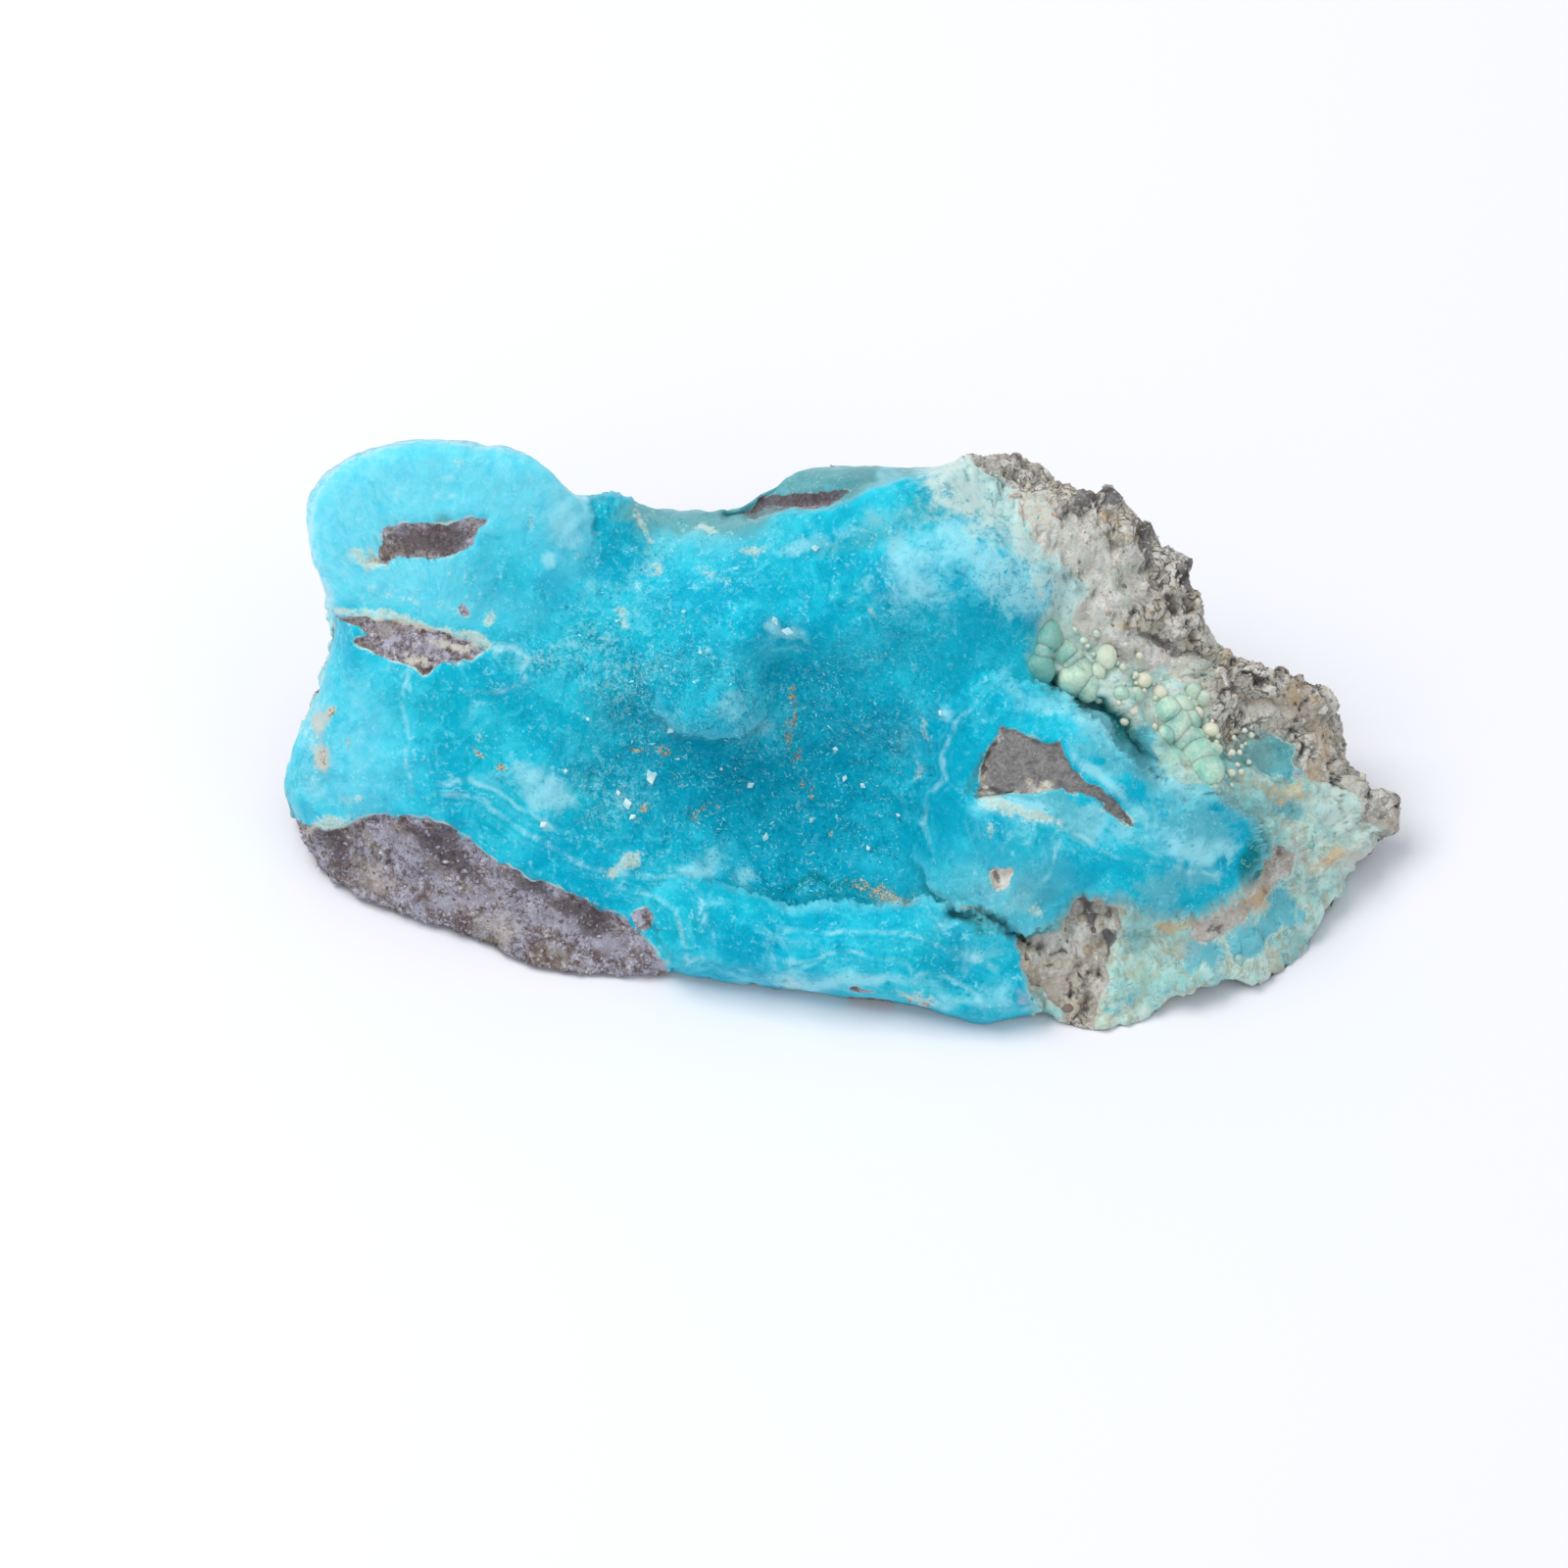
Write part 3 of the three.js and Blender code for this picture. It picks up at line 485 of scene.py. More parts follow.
# Soft spots of the face, by kind: along the face, up it, half width, half height, strength and, where
# the spot is turned, by how many degrees. They only colour, but for the chalk, which also smooths
# the ridge, and the frost, where some of the druse blades stand.
MARKS = {
    "chalk": [
        [14.3, 9, 2.2, 1.6, 1, -50], [15.6, 6.9, 2.4, 1.5, 1, -50], [17.5, 4.4, 2.4, 1.3, 1, -30],
        [19.6, 3.6, 1.6, 0.9, 0.9], [12.8, 11.2, 1.4, 1.4, 0.6], [16.8, 8.4, 1.1, 1.6, 0.8],
        [23.9, 1.3, 1.6, 0.7, 0.55, -25],
    ],
    # Deep marks: the crust's own deep teal in the trough, and painted shade under the knob and above the
    # lower band.
    "deep": [
        [0, -5.6, 7.5, 3.4, 1], [-6.9, -2.2, 3.4, 2.6, 0.8], [-0.4, 0.6, 2, 3, 0.6],
        [4, 0.8, 2.6, 2.6, 0.6], [9, 5.2, 3.2, 1.8, 0.6], [1.4, -8.4, 6, 0.8, 0.8, -3],
        [-9.8, 9.6, 1.6, 2.2, 0.3], [-5, -1.8, 4, 1.2, 0.8], [1.2, 5, 2.4, 1.6, 0.3],
        [15, -7, 2.4, 1, 0.5, -10], [-7.2, 1.4, 1.2, 0.8, 0.4], [7.4, 4, 2, 2.4, 0.3],
        [-16, 0.4, 3, 2, 0.25], [7.4, -1.6, 1, 2.8, 0.8, 4], [11, -8.5, 2, 1.2, 0.35],
        [-18.5, -3.2, 3, 1, 0.3, -20], [-19.2, 0.6, 2.2, 3, 0.4], [18.4, -4.6, 2, 0.8, 0.5, -35],
        [14.6, -7.6, 2.6, 1, 0.6, -10], [23.7, -7.2, 1, 1.6, 1, -15], [7.6, -1, 1, 2.4, 1],
        [8, -4.4, 1.2, 3, 0.6], [11.4, -8.8, 2, 1.2, 0.5], [-6.2, 4.4, 2.2, 1.7, 0.7],
        [2.6, 3.8, 1.8, 3.2, 0.3], [-8.4, 6.6, 1.4, 1, 0.4], [12.5, 5.7, 1.3, 0.9, 0.9, -40],
        [-11, 11.9, 1, 0.8, 0.4],
    ],
    # Milk marks: milky crust, and painted light along the knob's lower rim and the lobe's right edge.
    "milk_and_light": [
        [5.2, 7.8, 1.3, 1.3, 0.6], [4.4, 9.4, 0.7, 1.6, 0.5], [7.6, 10.2, 1.3, 1.6, 0.6],
        [11.1, 9, 2, 2.2, 1], [12.7, 7.2, 1.5, 1.5, 0.8], [5.2, 8.4, 2.6, 1.6, 0.35],
        [9, 8.6, 1.4, 1.8, 0.5], [9, 13.4, 3.2, 1.2, 0.9, -5], [1.6, 10.9, 5, 0.7, 0.45, 12],
        [-0.7, 10, 0.9, 0.5, 0.7], [-14.8, -3.3, 2.1, 0.8, 1.2, -15], [-6.7, -7.3, 1.4, 0.7, 1.1, 5],
        [-3.6, -7.8, 0.5, 0.4, 0.9], [-4.3, 1.1, 1.6, 1, 0.6, 15], [-7.8, 0.1, 0.8, 0.5, 0.6, -30],
        [-6, -0.4, 1.2, 0.35, 0.5], [-3.2, 0, 1.2, 0.4, 0.6, 25], [-6, 4.3, 0.4, 0.4, 1],
        [-10.1, -4, 0.6, 0.9, 0.8], [-14.6, -5.1, 0.22, 0.4, 1.4, 10], [-14.4, 9.2, 0.28, 0.28, 1.2],
        [-12.9, 10.4, 0.4, 0.5, 1.3], [-13.1, 11.4, 0.3, 1, 0.8, 5], [-2.1, 5.9, 0.4, 0.5, 1.2, 20],
        [-1.6, 5.4, 0.9, 0.3, 1.2, -20], [-22.7, 12.7, 0.3, 0.4, 0.9], [-20.3, 12.5, 0.3, 0.3, 1],
        [-19.5, 12.5, 0.25, 0.3, 0.9], [-19.7, 13.6, 0.5, 0.25, 0.9], [-16.9, 4.5, 1.2, 0.3, 0.9, -5],
        [-15.6, 3.2, 0.3, 0.9, 0.6, 10], [10.8, 2.2, 1.8, 0.9, 0.6, -25], [14.2, 0.4, 2.6, 1.2, 0.75, -38],
        [19.4, -2.8, 2, 1.1, 1.1, -38], [15.8, -2.9, 2.6, 0.4, 1.2, -42], [20.2, -6.2, 2.2, 0.9, 1, -10],
        [21.2, -5.8, 1.4, 0.9, 0.4], [10.8, -4.4, 1.6, 0.5, 1.3, -12], [15.6, -5, 3, 0.8, 0.65, -18],
        [8.2, -12, 1, 0.6, 0.6], [9.2, -6.2, 2, 1.6, 0.35], [6.9, -10.5, 1.6, 0.6, 0.5],
        [-1.6, -11.4, 2.4, 0.8, 0.5, 5], [9.2, -12, 1.5, 0.8, 0.3, -30], [-6, -10, 1.4, 1.4, 0.5],
        [-15.1, 13, 2.6, 2, 0.35], [7.2, 0.9, 0.4, 0.5, 0.9], [3.7, 4.3, 0.5, 0.4, 0.5],
        [-11, -6.4, 0.7, 0.4, 0.5], [-18.5, 1.5, 2, 0.8, 0.3, 20], [2.2, -13.6, 2.4, 0.5, 0.5],
        [-27.4, -2.4, 0.8, 2.4, 0.7], [-11.2, 7.6, 2.2, 1.6, 0.3], [-9, 9.6, 2.4, 1.6, 0.4],
        [0, -13.4, 7, 0.7, 0.7, -3], [9, -14.4, 3, 0.8, 0.6], [-13.5, 11.6, 0.6, 2.2, 0.7],
        [12.4, -6.4, 2.4, 1.4, 0.4], [19, -8.2, 1.8, 1, 0.4], [-24.6, 2, 2, 3.4, 0.4],
        [-9.4, 1.6, 1.4, 2.6, 0.3], [6, 10.4, 5, 1.4, 0.3, 15], [-1.2, 4.8, 2.4, 1, 0.3, 20],
        [6.6, 5.8, 1.6, 1, 0.3],
    ],
    "teal": [
        [25.6, -1.6, 1.6, 1.1, 1], [23.6, -11.4, 2.4, 1.7, 1, 20], [20.6, -12.6, 1, 1.2, 0.8],
        [25.7, -4.5, 1.4, 1.2, 0.7], [27.6, 0.4, 0.9, 1, 0.9], [21.4, 2.8, 0.9, 0.9, 0.7],
        [16.8, -14.6, 0.9, 1.2, 0.6], [9.8, 13.7, 1, 0.7, 0.8], [25.4, -9.8, 1.2, 0.9, 0.5],
        [16.4, -1, 4.2, 1.5, 1.2, -32], [20.4, -4.8, 2.6, 1.6, 1.1, -30], [13, -4.4, 3.8, 1.2, 1.1, -14],
        [19.2, -8.2, 2.2, 1.3, 0.9],
    ],
    # Umber marks: dark brown rock, and painted shade on the crust of the far strip and round the lens and
    # ridge.
    "umber_and_shade": [
        [-20.8, 10.2, 3.4, 0.9, 0.9, 5], [17.7, 10, 0.25, 1.4, 1, 10], [20.1, 8.7, 0.35, 0.8, 1, -20],
        [15.7, 12.9, 1.2, 0.22, 1], [18.9, 4.7, 1, 0.5, 0.9, -20], [14.9, -9.6, 0.3, 1.1, 1, 10],
        [13.6, -11.2, 1.2, 0.16, 0.8, -35], [12.6, -12.6, 0.8, 0.14, 0.8, 20], [25.5, -6.9, 0.6, 0.7, 0.6],
        [21.7, -10.7, 0.9, 0.4, 0.55], [14.6, -13.4, 0.16, 1, 0.7, -20], [14.8, -15.2, 0.7, 1, 0.8],
        [8.9, -2.3, 0.25, 1.2, 1, -25], [9.6, -3.2, 0.8, 0.16, 1, -5], [9.75, -7.9, 0.2, 0.5, 1, 20],
        [18.9, 12.2, 0.9, 0.3, 0.8, -50], [21.8, 6.2, 0.4, 0.8, 0.7, 20], [-19.7, -6.6, 3, 0.5, 0.5, -30],
        [-12, -10.4, 2.4, 1, 0.5, -20], [22.8, 5, 0.6, 0.6, 0.6], [24.2, 3.1, 0.5, 0.5, 0.6],
        [19.4, 7.2, 0.5, 0.4, 0.7], [1.6, 13.8, 4.6, 1, 0.62, 10], [9.9, 13.8, 0.8, 0.6, 0.5],
        [-1.2, 12.2, 2.8, 0.6, 1, 5], [-26.5, -6.4, 1.6, 1, 0.8, -30], [-19.4, -6, 1.6, 1.2, 0.7, -30],
        [-15.4, -8.2, 2, 0.7, 0.8, -35], [-12.6, -10.6, 1.6, 0.8, 0.6, -30], [22.6, 2.2, 0.5, 0.9, 0.8, 20],
        [25.8, 3, 1.4, 0.3, 0.8, -15], [24, -0.2, 0.9, 0.3, 0.6, -40], [9.2, -1.5, 0.3, 0.12, 1.2, 20],
        [9.1, -2.3, 0.3, 0.12, 1.2, 20], [9.6, -0.8, 0.3, 0.12, 1.2, 20], [16, 10.4, 0.5, 0.3, 0.7],
        [14, 8.2, 0.6, 0.4, 0.6],
    ],
    "slate": [
        [12.2, -1.9, 4.2, 2.6, 1.2, -15], [15.6, -3.8, 2.2, 1.2, 1, -40], [14.6, 13, 0.5, 0.5, 1],
        [16.2, 12.5, 0.9, 0.35, 1, -10], [18.1, 9.8, 0.3, 1.4, 1.1, 10], [20.5, 8.2, 0.45, 0.6, 1, 30],
        [15.9, -11.2, 0.45, 1, 1], [16.9, 6.8, 0.25, 0.9, 0.9, 30],
    ],
    "sage": [
        [-7.2, 11.5, 3.2, 0.6, 1.1], [-3.6, 11.3, 2.6, 0.5, 0.8, 5], [-9.4, 10, 1, 1.6, 0.5],
        [-6.4, 10.9, 2, 0.8, 0.6], [2, 14.3, 4.8, 1.2, 1.6, 10], [3, 10.6, 5, 1, 0.5, 14],
        [7.5, 12, 3, 1, 0.4, -5], [10.1, 13.6, 1, 0.9, 1.2], [16.6, 8.2, 0.9, 1.3, 0.5],
        [20.9, 3.4, 1, 0.9, 0.9], [24.8, -1.2, 1.8, 1, 1.1, -10], [22, -1.6, 0.9, 0.8, 0.8],
        [23, -4, 1.4, 1.6, 0.7], [25.6, -4.6, 1.4, 1.1, 0.6], [27.8, -4.3, 1.6, 1, 0.4],
        [27, -8.6, 1.3, 1.6, 0.6], [17.4, -11.4, 1.3, 1, 0.7], [30.8, -5.6, 0.8, 0.8, 0.6],
        [12.9, 9.9, 0.8, 0.9, 0.7],
    ],
    "mint": [
        [16.8, -12.8, 1.3, 0.9, 0.5], [19.3, -11.6, 1.2, 1.6, 0.5], [18.4, -14.2, 0.9, 1.4, 0.4],
        [12.8, 4, 1.4, 1.4, 0.6], [20, -0.6, 1.6, 1.6, 0.8, -50], [29, -3, 1.2, 1, 0.5],
        [10.6, 12.6, 1.6, 1, 0.6, -20],
    ],
    "lilac": [
        [-21.8, -6.6, 1.8, 1, 1, -10], [-18, -9, 1.6, 1, 0.9], [-14, -10.6, 2, 0.8, 0.9, -20],
        [-10.8, -11.8, 1.4, 0.8, 1.1, -20], [-20.6, -9.4, 1, 0.6, 0.8], [1.6, 12.4, 1, 0.4, 0.4],
        [11.5, -14.2, 0.7, 0.5, 0.6],
    ],
    "greige": [
        [-24, -8.4, 2.4, 0.8, 0.7, -25], [-16.8, -11, 2.2, 0.8, 0.6, -20], [-26.6, 0.4, 0.6, 1.1, 0.9],
        [-26.5, -1.9, 0.5, 0.9, 1], [-25.6, -3.9, 1.4, 0.5, 0.4], [30.2, -4.2, 2, 2.2, 0.7],
        [28.2, -0.6, 1.1, 2.4, 0.9, 35], [21.4, -10.4, 1.3, 0.8, 1], [23.6, -9, 2.2, 0.7, 0.8, 35],
        [24, -8, 0.8, 1.2, 0.9], [23.4, -5, 0.8, 0.9, 0.5], [29, -6.6, 0.9, 1.4, 0.7, -30],
        [20.2, -12.4, 0.7, 1, 0.5], [26.6, -7.2, 1.2, 1, 0.5], [13.4, -13.2, 1.6, 1, 0.7],
        [25.2, 1, 1.6, 1.2, 0.5, -20], [23.8, 1.5, 1.8, 0.9, 0.6],
    ],
    "ledge": [
        [0.5, -9.2, 7, 1.4, 1], [10, -10.2, 3, 1.6, 1, -25], [15.4, 0.6, 4.6, 2.6, 0.9, -35],
        [12, -13.4, 1.2, 3, 0.8, 15], [-12.6, 11.8, 1.4, 1.8, 0.4], [-5.6, -0.2, 3.6, 1.4, 0.9],
        [24, -6.8, 1.2, 2.4, 0.8], [5.6, -7.4, 1.2, 1.6, 0.25],
    ],
    "frost": [
        [-13.5, 4.2, 3, 1.6, 0.9], [-9.9, 3, 1.6, 2.4, 0.9], [-11.2, -2.8, 2.4, 1.2, 0.7],
        [-9, 9, 2.4, 1.6, 0.5], [5, 7.4, 1.8, 2.4, 0.5], [4.8, -0.6, 1.2, 0.8, 0.8], [11.4, 8, 2.4, 2.8, 1],
        [-9.8, -4.4, 1.8, 1, 0.7], [7, 11.6, 2.4, 1.2, 0.5],
    ],
    "cream": [
        [-9.2, 10.9, 0.4, 1, 0.8, 10], [-8.4, 8.8, 0.4, 0.45, 0.8], [-10.3, 6.4, 0.35, 0.35, 1],
        [-10.2, 5.8, 0.3, 0.3, 0.9], [-5.8, 10.7, 0.75, 0.28, 1.2], [-3.3, 10.1, 1.8, 0.5, 0.7, 8],
        [-5.2, 8.4, 1, 0.5, 0.6, 20], [3.1, 6.5, 0.8, 0.3, 0.8, -45], [5.3, 3.6, 0.5, 0.5, 0.6],
        [-17.5, 5.9, 0.55, 0.35, 1.4], [-24.3, -3.7, 0.4, 0.4, 0.9], [-10.1, -7.4, 0.85, 0.45, 1.5, 20],
        [6.1, 0.3, 0.3, 1.6, 0.7, 12], [5.7, -2.3, 0.35, 1, 0.8, 5], [4.2, -9, 1.7, 0.4, 0.6, -12],
        [-15.4, 11.4, 0.3, 0.3, 0.8], [-18.9, 14.4, 0.6, 0.35, 0.6], [-21.6, 14.1, 0.4, 0.3, 0.5],
        [-26.9, -0.8, 1, 2.6, 0.6], [-24.3, 9.2, 1.2, 0.5, 1, 5], [-24.4, 6.4, 1.8, 0.3, 1.4, -4],
        [-21.6, 5.9, 2, 0.3, 1.4, -14], [-18.7, 4.9, 1.4, 0.4, 1.3, -25], [-22, 7.4, 4, 0.4, 0.5, -8],
        [10.2, -4.3, 1.3, 0.45, 1.3, -30], [12.2, -4.9, 1.2, 0.35, 1, -10], [9.6, -5.6, 0.6, 0.3, 0.8],
        [-12.7, 9.6, 0.4, 0.4, 0.8], [-17.5, -0.6, 1.3, 0.5, 0.4, -30], [-1.4, -13.6, 1.2, 0.4, 0.8],
        [5.4, -14.6, 2, 0.4, 0.8, -10], [7.6, 5.2, 0.5, 0.9, 0.4], [-19, 8.2, 1.2, 0.4, 0.5],
        [-12.4, 5.2, 1.2, 0.7, 0.35], [-21.4, 3.4, 1, 0.5, 1], [-19.6, 4.3, 1.4, 0.35, 0.9, -20],
        [10.4, -7.7, 0.4, 0.3, 1], [-8.6, 11.4, 2.2, 0.6, 0.25], [-9.3, 8.4, 1.6, 1.4, 0.35],
        [-14.8, 3.9, 2.4, 0.8, 0.4], [-26.3, -5.3, 1.7, 0.5, 1.1, 5], [11.6, -9.6, 0.5, 0.5, 0.8],
        [15.4, -13, 0.5, 0.7, 0.7],
    ],
    "rust": [
        [-1.1, 1.7, 0.35, 0.7, 1], [-1.6, 0.5, 0.5, 0.5, 1], [-1.6, -0.5, 0.35, 0.5, 0.9],
        [-1.1, -1.5, 0.35, 0.5, 0.8], [-0.7, -3, 0.4, 0.5, 0.7], [-8.3, -1.6, 0.6, 0.8, 0.9],
        [-8.8, -4.4, 0.7, 0.4, 0.9], [-5.2, -4.1, 0.5, 0.3, 0.7], [1.1, -5.6, 0.3, 0.3, 0.7],
        [-17.8, -1.3, 1, 0.3, 1, -30], [-16.6, -2, 0.3, 0.3, 1], [-26.3, 1, 0.35, 0.3, 1.1],
        [-25.3, -0.8, 0.25, 0.5, 0.8], [-26.4, -1.8, 0.3, 0.6, 1], [-10.2, -7.45, 0.3, 0.16, 1.4, 30],
        [3.4, -8.6, 2.4, 0.3, 0.7, -8], [8.4, -9.7, 1.6, 0.25, 0.8, -28], [9.6, -5.9, 0.35, 0.2, 0.9],
        [-5.3, 8.4, 0.7, 0.4, 0.5], [0, -1.4, 4, 3, 0.3], [-11.7, 3.2, 2.4, 1.2, 0.35],
        [-4.4, 1.3, 0.7, 0.2, 0.5], [-3.3, 10.4, 1.2, 0.4, 0.5], [-23.4, 8.7, 0.8, 0.2, 0.5],
        [25.4, -3.5, 1.8, 1.4, 0.6], [24.6, -9.4, 2.4, 0.8, 0.55, 25], [27.4, -2.2, 1.4, 1, 0.4],
        [19.6, -10.4, 1.4, 0.6, 0.8], [26.4, 1.8, 1, 1.2, 0.7], [17, -12.4, 0.7, 1.4, 0.5],
        [24.4, 1.6, 1.2, 0.9, 0.4], [15.5, 11.6, 1, 0.7, 0.6], [17.5, 5.6, 1, 0.6, 0.6],
        [12.6, 11.6, 1.2, 0.8, 0.5], [28.4, -0.8, 0.9, 1.3, 0.6], [28, -6.4, 0.8, 1.4, 0.7, -30],
        [-6, -4.6, 0.6, 0.5, 0.9], [-9.6, -1.2, 0.5, 0.7, 0.8], [0.6, 2.6, 0.4, 0.5, 0.6],
        [4.6, -9.2, 1.8, 0.35, 0.8, -12], [23.7, -9.2, 1.3, 0.5, 0.35, 40],
    ],
    # Painted shade: darkness laid along the cracks, under the knob and in hollows of the face.
    "hollow_shade": [
        [15.9, 1.1, 2.6, 0.5, 1, -38], [8.6, -10.1, 3, 0.45, 1, -28], [15.7, 1.7, 0.35, 0.3, 1],
        [23.8, -7.2, 0.9, 1.4, 1.2, -15], [16.8, -0.4, 1.8, 0.5, 0.7, -40], [0.5, -8.5, 4.5, 0.35, 0.7, -2],
        [9.8, 13.7, 0.9, 0.6, 0.5], [-7.3, -2.6, 0.9, 1.6, 0.25, 20], [25.6, -0.9, 0.8, 0.8, 0.45],
        [12.9, 5.8, 1.1, 0.5, 0.35, -40], [20.4, -12, 0.7, 0.8, 0.3], [16.9, -11.9, 0.9, 0.3, 0.5, -10],
    ],
    "banding": [
        [-17, -4.6, 5, 1.5, 1, -22], [-9.4, -8.6, 3, 1.2, 1, -10], [2, -12, 9, 1.6, 0.8, -8],
        [17, -6, 5, 1.4, 0.8, -16], [-22, 7.6, 4.5, 1.2, 0.9, -8], [7.2, -1.4, 1.2, 3.5, 0.8],
        [-16.4, 3.2, 2.4, 1.8, 0.6], [14, 0.6, 4, 1.6, 0.6, -38], [9, -6.5, 2.5, 2, 0.7],
    ],
}
SPOT_SWAY = 0.9                     # how far a spot's outline sways, in parts of its smaller radius
BLOCK_TILT = 1.4                    # how much the facets of the broken rock tilt

flat_places = np.stack([face_u, face_v, np.zeros(face_u.shape)], axis=-1)
sway_u = rough_noise(flat_places, 2.0, 3, 101)
sway_v = rough_noise(flat_places, 2.0, 3, 111)


def painted(kind):
    """The spots of one kind at each vertex, from 0 to 1; a larger spot's outline sways more."""
    total = np.zeros(len(body))
    for along, up, half_width, half_height, strength, *turn in MARKS[kind]:
        sway = SPOT_SWAY * min(half_width, half_height)
        total += strength * blob(grown_u + sway * sway_u, grown_v + sway * sway_v, (along, up),
                                 (half_width, half_height), *turn)
    return np.clip(total, 0, 1)


# How rough each part is: the broken ridge, the low rock and the back are craggy, the right end is
# lumpy, bare rock is gritty, and the trough has fine druse up to the ledges round it.
chalk = painted("chalk") * on_front
rough = np.maximum.reduce([within("rough ridge", -1, 1.2), 0.9 * within("low rock", -0.1, 0.6),
                           smooth_step(below_rim, 0.6, 2.2)]) * (1 - 0.75 * chalk)
lumpy = within("right end", -0.5, 0.5) * (1 - within("rough ridge", -0.5, 0.5))
bare = within("bare rock", -0.2, 0.3)
trough_reach = np.clip(blob(grown_u, grown_v, (-1.5, -4.5), (9, 5.5), -10) * 1.3
                       + blob(grown_u, grown_v, (-8, 3), (6, 5)) * 0.9
                       + blob(grown_u, grown_v, (2.5, 1.5), (4, 4)) * 0.8, 0, 1)
druse = trough_reach * (1 - within("lobe", -0.5, 0.8)) * (1 - within("lower band", -0.3, 0.3))
druse *= (1 - within("raised mass", -1.5, 0.5)) * (1 - bare) * on_front


def blocks(points, size, seed):
    """Broken blocks: each is a facet raised by its own random number, and tilted along x and z by
    the later digits of that number, in millimetres; also how near the edge between two blocks is,
    from 0 to 1."""
    first, second, way, own = grains(points, size, seed)
    facet = own - 0.5
    for axis, shift in ((0, 13), (2, 31)):
        facet += way[:, axis] * (np.modf(own * shift)[0] - 0.5) * BLOCK_TILT
    return size * facet, 1 - smooth_step(second - first, 0, 0.2)


boulders, boulder_edge = blocks(body, 2.8, 11)
stones, stone_edge = blocks(body, 1.1, 37)
clefts = smooth_step(0.07 - np.abs(rough_noise(body, 2.6, 3, 61)), 0, 0.07)
vugs = smooth_step(0.4 - grains(body, 1.3, 23)[0], 0, 0.2)
vugs *= smooth_step(rough_noise(body, 3, 2, 65), 0, 0.3)
crags = 0.3 * boulders + 0.28 * stones - 0.2 * boulder_edge - 0.1 * stone_edge
crags -= 0.5 * clefts + 0.5 * vugs
# Painted shade: darker in the clefts, pits and block edges of the rough rock.
cavity_shade = rough * np.clip(0.25 - 0.3 * crags + 0.6 * clefts + 0.4 * vugs + 0.2 * boulder_edge, 0, 1)
panes = blocks(body, 2.4, 31)[0]
lumps, lump_edge = blocks(body, 0.95, 33)
grain_near, grain_next = grains(body, 0.42, 57)[:2]
fine_lumps = 0.07 * (grain_next - grain_near)
pebbles = 0.5 * (0.5 - grain_near)

# Rough layers of the relief: where each lies, its height, size, octaves and seed.
ROUGH_LAYERS = [
    (1, 0.14, 3.2, 4, 5), (1 - rough, 0.09, 0.8, 2, 9), (rough, 0.5, 4, 3, 3), (rough, 0.12, 0.7, 2, 13),
    (lumpy, 0.42, 1.5, 3, 17), (chalk, 0.4, 1.3, 3, 18), (bare, 0.16, 0.7, 2, 19), (druse, 0.16, 0.9, 3, 21),
]
relief = sum(where * height * rough_noise(body, size, octaves, seed)
             for where, height, size, octaves, seed in ROUGH_LAYERS)
relief += rough * crags + lumpy * (0.09 * panes + 0.12 * lumps - 0.05 * lump_edge)
relief += chalk * 0.12 * lumps + (0.6 * (1 - rough) + 2 * chalk + druse) * fine_lumps
relief += on_front * blob(grown_u, grown_v, (-10.9, 12.1), (1.4, 0.9)) * (0.25 + pebbles)
for name in ("lower band", "raised mass"):
    relief += on_front * np.exp(-((patch_depth[name] - 0.15) / 0.3) ** 2) * pebbles
relief *= 1 - 0.6 * on_base
solid = body + vertex_normals(body, quads) * relief[:, None]
solid[:, 2] = np.maximum(solid[:, 2], 0)
solid_normals = vertex_normals(solid, quads)


def mesh_piece(name, points, cells, fields=None, smooth=True):
    """A new mesh object from points in millimetres and cells of equal corner count. A field has a
    value for each point, or for each of the equal parts that follow one another."""
    mesh = bpy.data.meshes.new(name)
    corners = cells.shape[1]
    mesh.vertices.add(len(points))
    mesh.vertices.foreach_set("co", (points * MM).astype(np.float32).ravel())
    mesh.loops.add(cells.size)
    mesh.loops.foreach_set("vertex_index", cells.astype(np.int32).ravel())
    mesh.polygons.add(len(cells))
    mesh.polygons.foreach_set("loop_start", np.arange(0, cells.size, corners, dtype=np.int32))
    mesh.update(calc_edges=True)
    mesh.polygons.foreach_set("use_smooth", np.full(len(cells), smooth))
    for field, values in (fields or {}).items():
        attribute = mesh.attributes.new(field, "FLOAT", "POINT")
        spread = np.repeat(values, len(points) // len(values))
        attribute.data.foreach_set("value", spread.astype(np.float32))
    piece = bpy.data.objects.new(name, mesh)
    bpy.context.scene.collection.objects.link(piece)
    return piece


# Fields for the colours. The rock, the ledge, the line's side and the way to the rim are distances
# in millimetres, and rock is positive where bare rock shows; the fan's fields are a turn and a
# distance. The others run from 0 to 1.
ROCK_PATCHES = ("bare rock", "upper lens", "lower lens", "grey triangle", "small triangle",
                "low rock", "back strip", "thin seam", "small chip")
ROCK_SPOT = (-9.3, -10.3, 0.55)     # a round spot of bare rock: its middle and radius
FAN_MIDDLE = (-20.5, 5)             # where the fibres of the lobe fan out from
rock_on_face = np.maximum.reduce([patch_depth[name] for name in ROCK_PATCHES])
speckle = rough_noise(body, 2.2, 3, 71)
ridge_rock = np.minimum(patch_depth["rough ridge"] - 0.6, 2) + 1.2 * speckle
rock_on_face = np.maximum(rock_on_face, np.where(patch_depth["rough ridge"] > -1.5, ridge_rock, -2))
spot_u, spot_v, spot_radius = ROCK_SPOT
spot = spot_radius - np.hypot(grown_u - spot_u, grown_v - spot_v) + 0.3 * speckle
low_specks = blob(grown_u, grown_v, (3.8, -14.6), (3.2, 0.7), -9)
low_specks = low_specks * (1.3 + 1.3 * rough_noise(body, 0.8, 2, 81)) - 1.1
rock_on_face = np.maximum.reduce([rock_on_face, spot, low_specks])

